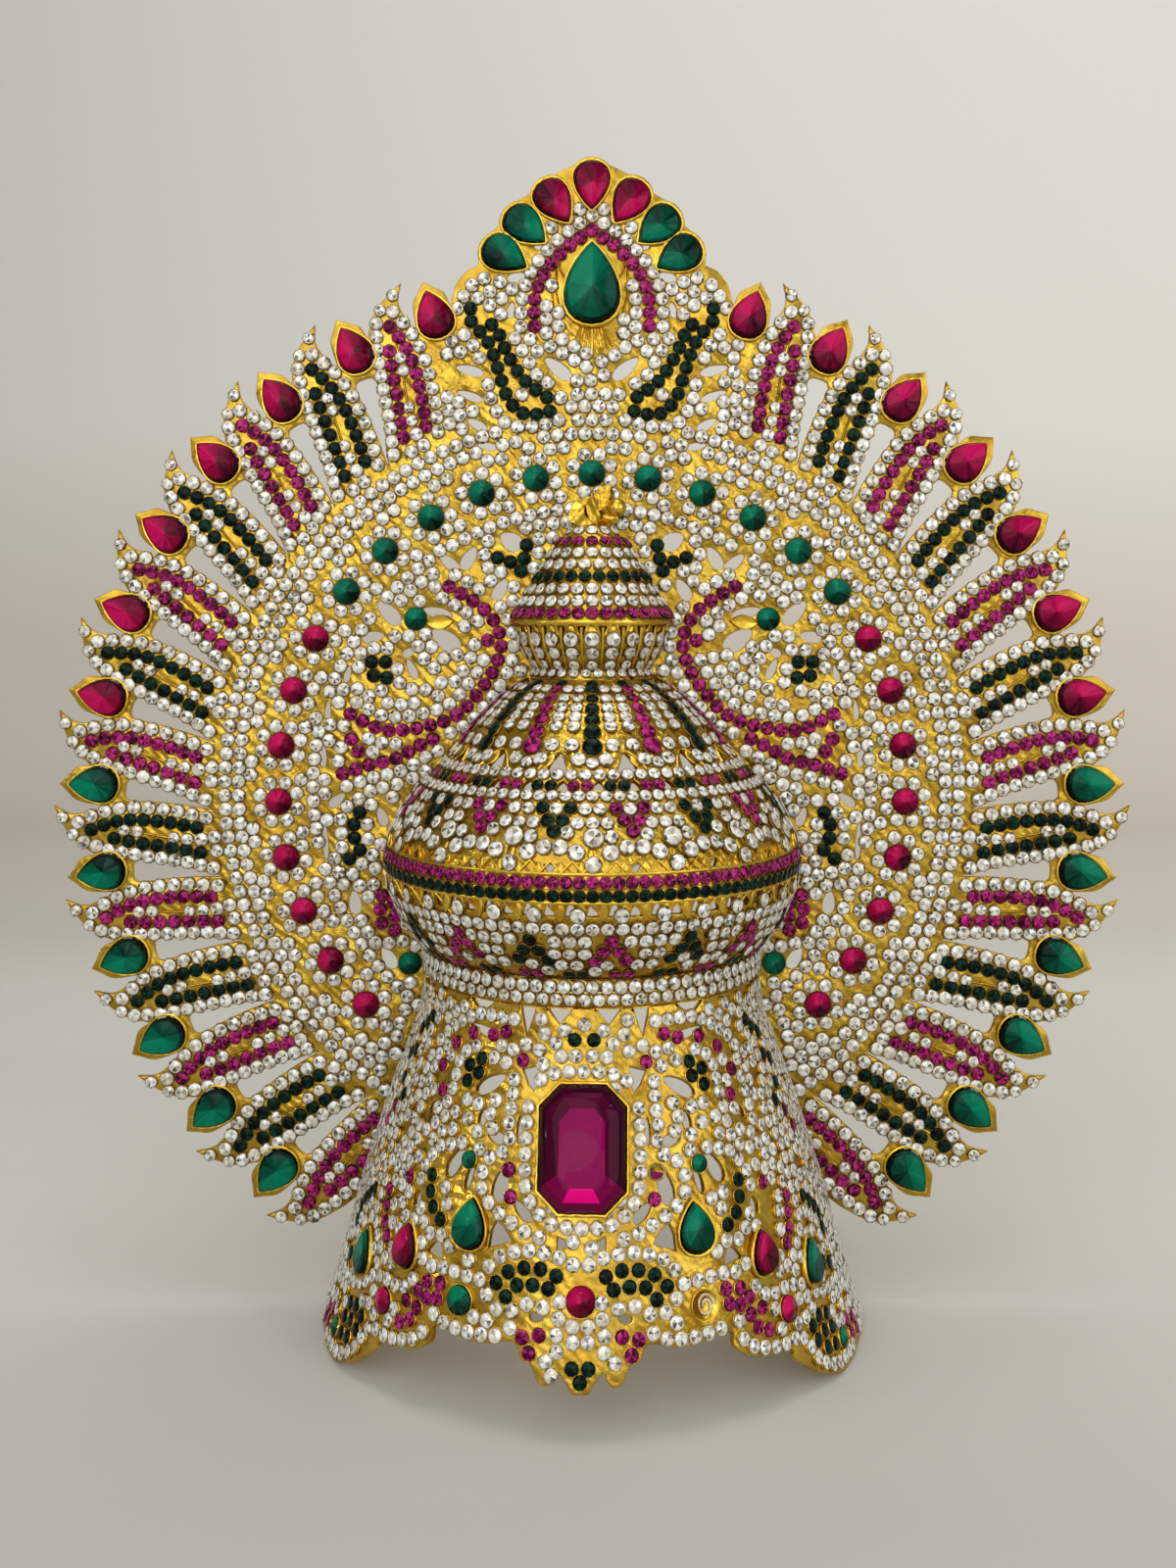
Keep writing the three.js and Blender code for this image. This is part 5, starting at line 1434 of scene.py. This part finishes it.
def backdrop():
    """A pale floor that turns up into a pale wall, painted with shade under the crown and in the bend, and with light
    to the right.
    """
    floor_end = WALL_Y - BEND
    turns = np.radians(np.arange(10, 91, 10))
    bend = [(floor_end + BEND * math.sin(a), BEND - BEND * math.cos(a)) for a in turns]
    profile = [(-HALF_WIDE, 0.0), (floor_end, 0.0), *bend, (WALL_Y, WALL_TOP)]
    mesh = bpy.data.meshes.new("backdrop")
    points = [(x, y, z) for x in (-HALF_WIDE, HALF_WIDE) for y, z in profile]
    n = len(profile)
    mesh.from_pydata(points, [], [(i, i + n, i + n + 1, i + 1) for i in range(n - 1)])
    f = Finish("pale_backdrop")
    apart = f.add("ShaderNodeSeparateXYZ", Vector=f.place()).outputs
    away = f.sum("ADD", apart["Z"], apart["Y"])
    share = f.add("ShaderNodeMapRange", Value=away, From_Min=-0.1, From_Max=1.2).outputs[0]
    shaded_paper = f.ramp(share, *PAPER_SHADING)
    side = f.sum("MULTIPLY_ADD", apart["X"], f.sum("MULTIPLY_ADD", away, 0.25, 0.13), 1.0)  # painted light: paler on the right, the more so higher up
    shaded_paper = f.add("ShaderNodeVectorMath", {"operation": "SCALE"}, Vector=shaded_paper, Scale=side).outputs[0]
    mesh.materials.append(f.shade(Base_Color=shaded_paper, Roughness=0.9, Specular_IOR_Level=0.1))
    for face in mesh.polygons:
        face.use_smooth = True
    linked("backdrop", mesh)


def soft_light(name, at, aim, size, power, colour=(1, 1, 1)):
    lamp = bpy.data.lights.new(name, "AREA")
    lamp.shape, lamp.size, lamp.energy, lamp.color = "DISK", size, power, colour
    ob = linked(name, lamp)
    ob.location = at
    ob.rotation_euler = Vector(np.subtract(aim, at)).to_track_quat("-Z", "Y").to_euler()


backdrop()
CENTRE = (0, 0, 0.15)
soft_light("key", (-0.32, -0.9, 0.75), CENTRE, 1.2, 4.9)
soft_light("fill", (0.8, -0.8, 0.4), CENTRE, 0.9, 3.1)
soft_light("top", (0.05, -0.15, 1.2), CENTRE, 0.8, 1.8)
soft_light("front", (-0.1, -1.3, 0.2), (0, 0, 0.1), 1.0, 2.9)
soft_light("behind", (0.0, 0.15, 1.5), (0, 0.6, 0.3), 0.9, 5.0)
soft_light("spark_left", (-0.9, -0.35, 0.3), CENTRE, 0.06, 0.5)
soft_light("spark_right", (0.7, -0.5, 0.9), CENTRE, 0.05, 0.5)
world = bpy.data.worlds.new("studio")
world.use_nodes = True
air = world.node_tree.nodes["Background"].inputs
air["Color"].default_value, air["Strength"].default_value = (0.86, 0.87, 0.88, 1), 0.4
scene.world = world
scene.view_settings.view_transform = "Standard"

lens = bpy.data.cameras.new("camera")
lens.lens, lens.sensor_width, lens.shift_y = 33.5, 36.0, -0.109
camera = linked("camera", lens)
camera.location = (-0.00095, 0.02625 - 0.353, 0.167)
camera.rotation_euler = (math.pi / 2, 0, 0)
scene.camera = camera
